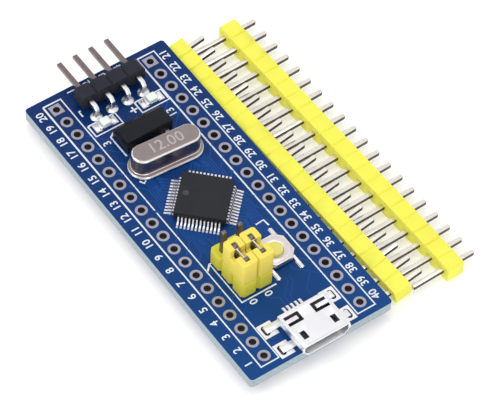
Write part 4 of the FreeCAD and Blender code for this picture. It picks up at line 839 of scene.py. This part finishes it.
# %% [markdown]
# ## Solder where the parts sit
#
# Reflowed solder climbs the sides of each foot and freezes as a low, bright dome on its land. A
# sphere pressed flat makes that dome, and only its upper half shows above the copper. Each dome's
# place is counted in from the box of the terminals that it holds.

# %% Solder domes on the lands
LAND = 0.03
LED_DOME, LED_OUT, LED_IN = (1.3, 0.75, 0.16), 0.28, 2.28
SWITCH_DOME, SWITCH_IN_X, SWITCH_IN_Y = (0.7, 0.5, 0.12), 0.1, 0.22
CLOCK_DOME, CLOCK_OUT_X, CLOCK_IN_Y = (0.7, 0.85, 0.3), 0.02, 0.3


def solder_domes():
    """A dome of (length, width, height) in millimetres at each foot of the LEDs, switch and clock crystal."""
    bm = bmesh.new()

    def dome(x, y, size):
        length, width, height = size
        blob = bmesh.ops.create_uvsphere(bm, u_segments=20, v_segments=10, radius=1.0)
        bmesh.ops.scale(bm, vec=Vector((length / 2, width / 2, height)), verts=blob["verts"])
        bmesh.ops.translate(bm, vec=Vector((x, y, BOARD_HIGH.z + LAND)), verts=blob["verts"])

    low, high = box_mm("led_terminals")
    middle_x = (low.x + high.x) / 2
    for y in (low.y - LED_OUT, low.y + LED_IN, high.y - LED_IN, high.y + LED_OUT):
        dome(middle_x, y, LED_DOME)
    low, high = box_mm("reset_contacts")
    for x in (low.x + SWITCH_IN_X, high.x - SWITCH_IN_X):
        for y in (low.y + SWITCH_IN_Y, high.y - SWITCH_IN_Y):
            dome(x, y, SWITCH_DOME)
    low, high = box_mm("rtc_crystal_terminals")
    for x in (low.x - CLOCK_OUT_X, high.x + CLOCK_OUT_X):
        for y in (low.y + CLOCK_IN_Y, high.y - CLOCK_IN_Y):
            dome(x, y, CLOCK_DOME)
    made = piece(bm, "solder_domes", "board", solder_metal, smooth=60)
    print("solder domes", len(made.data.polygons), "faces")


solder_domes()

# %% [markdown]
# ## The crystal's stamped number
#
# The drawn case carries its frequency, stamped before plating, so it stands out in the same metal,
# a little brighter where it is rubbed. The text maker from the legend serves again: it only stands
# a hair higher and is made of nickel.

# %% Stamped number
STAMP_HEIGHT, STAMP_RELIEF, STAMP_SINK, STAMP_TURN = 1.75, 0.03, 0.005, 86
stamped_nickel = surface("rubbed_nickel_stamp", "#c4bab8", "#b5abaa", 0.1, 1.0, 0.004, (0.2, 0.3),
                         Metallic=1.0)
can_low, can_high = box_mm("crystal_can")
can_middle = (can_low + can_high) / 2
stamp_entry = [("12.00", can_middle.x, can_middle.y)]
stamp = lettering(stamp_entry, STAMP_HEIGHT, can_high.z - STAMP_SINK, STAMP_RELIEF, STAMP_TURN)
piece(stamp, "crystal_stamp", "board", stamped_nickel)

# %% [markdown]
# ## Floor
#
# A white floor and a white surround make a plain product picture. The floor is a large flat sheet
# at the height the parts rest on, and it glows a little, as a light table does, so that shadows stay
# pale and the undersides of the pins are lit.

# %% Floor
FLOOR_GAP = 0.05
FLOOR_HALF_M = 1.5


def floor():
    """A pale sheet, three metres wide, a hair under the lowest point."""
    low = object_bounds()[0]
    bm = bmesh.new()
    bmesh.ops.create_grid(bm, x_segments=4, y_segments=4, size=FLOOR_HALF_M)
    bmesh.ops.translate(bm, vec=Vector((0, 0, low.z - FLOOR_GAP * MM)), verts=bm.verts)
    mesh = bpy.data.meshes.new("floor")
    bm.to_mesh(mesh)
    bm.free()
    made = bpy.data.objects.new("floor", mesh)
    bpy.context.collection.objects.link(made)
    material = bpy.data.materials.new("white_sweep")
    material.use_nodes = True
    sockets = material.node_tree.nodes["Principled BSDF"].inputs
    sockets["Base Color"].default_value = linear("#e9e9e9")
    sockets["Emission Color"].default_value = linear("#fffdfa")
    sockets["Emission Strength"].default_value = 0.3
    sockets["Roughness"].default_value = 0.9
    sockets["Specular IOR Level"].default_value = 0.1
    mesh.materials.append(material)
    made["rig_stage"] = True
    print("floor height in mm", round(low.z / MM - FLOOR_GAP, 3))


floor()


# %% [markdown]
# ## Soft light
#
# A small object under a large lamp gets soft shadows, because each point of it sees the lamp from
# many sides. Three round lamps stand for a window in front, a ceiling and a fill from the side. They
# hang half a metre away, ten times the board's length, so a watt or less each is enough.

# %% Lamps
def soft_light(name, place, size, power):
    """A round white lamp that is aimed at the middle of the board."""
    lamp = bpy.data.lights.new(name, "AREA")
    lamp.shape = "DISK"
    lamp.size = size
    lamp.energy = power
    made = bpy.data.objects.new(name, lamp)
    bpy.context.collection.objects.link(made)
    made.location = place
    made.rotation_euler = (-Vector(place)).to_track_quat("-Z", "Y").to_euler()
    print(name, "at", round(Vector(place).length, 2), "m")


soft_light("key_front", (-0.12, -0.5, 0.55), 0.3, 1.0)
soft_light("top_soft", (0.0, 0.05, 0.75), 0.5, 0.8)
soft_light("side_fill", (0.6, -0.1, 0.3), 0.4, 0.7)

# %% [markdown]
# ## The surround
#
# The surround is fully white only to the camera and to mirrors, which are metal and glass here. The
# light that it sheds on the object is a little weaker, so that it fills the shadows without washing
# the colours out. The Light Path node says which kind of ray is asking.

# %% White surround
SHED_LIGHT = 0.82
world = bpy.data.worlds.new("white_surround")
bpy.context.scene.world = world
world.use_nodes = True
tree = world.node_tree
tree.nodes.clear()
path = add(tree, "LightPath")
either = {0: path.outputs["Is Camera Ray"], 1: path.outputs["Is Glossy Ray"]}
seen = add(tree, "Math", links=either, operation="MAXIMUM")
either = {0: seen.outputs[0], 1: path.outputs["Is Transmission Ray"]}
seen = add(tree, "Math", links=either, operation="MAXIMUM")
strength = add(tree, "MapRange", {"To Min": SHED_LIGHT, "To Max": 1.0}, {"Value": seen.outputs[0]})
background = add(tree, "Background", {"Color": (1, 1, 1, 1)}, {"Strength": strength.outputs[0]})
add(tree, "OutputWorld", links={"Surface": background.outputs[0]})
print("world nodes", len(tree.nodes))

# %% [markdown]
# ## Camera
#
# The camera looks down at the board from over its near right corner, through a long lens from half a
# metre away, which keeps the rows nearly parallel. Three angles place it: round the object, up from
# the floor, and a slight roll about its own axis. Its matrix is built from the three directions that
# it has: right, up and back.

# %% Camera
AZIMUTH, ELEVATION, ROLL = (math.radians(a) for a in (51.8959, 52.7570, 3.6420))
DISTANCE = 465.73
LENS, SENSOR = 254.01, 36.0
aim = Vector((3.5759, 4.6990, BOARD_HIGH.z))
outward = Vector((math.sin(AZIMUTH), -math.cos(AZIMUTH), 0)) * math.cos(ELEVATION)
back = outward + Vector((0, 0, math.sin(ELEVATION)))
right = (-back).cross(Vector((0, 0, 1))).normalized()
up = right.cross(-back)
rolled_right = math.cos(ROLL) * right + math.sin(ROLL) * up
rolled_up = math.cos(ROLL) * up - math.sin(ROLL) * right
lens = bpy.data.cameras.new("camera")
lens.lens = LENS
lens.sensor_width = SENSOR
lens.clip_start = 0.01
camera = bpy.data.objects.new("camera", lens)
bpy.context.collection.objects.link(camera)
turn = Matrix((rolled_right, rolled_up, back)).transposed()
camera.matrix_world = Matrix.Translation((aim + back * DISTANCE) * MM) @ turn.to_4x4()
bpy.context.scene.camera = camera
bpy.context.scene.view_settings.view_transform = "Standard"
print("camera at", [round(c, 3) for c in camera.matrix_world.translation])
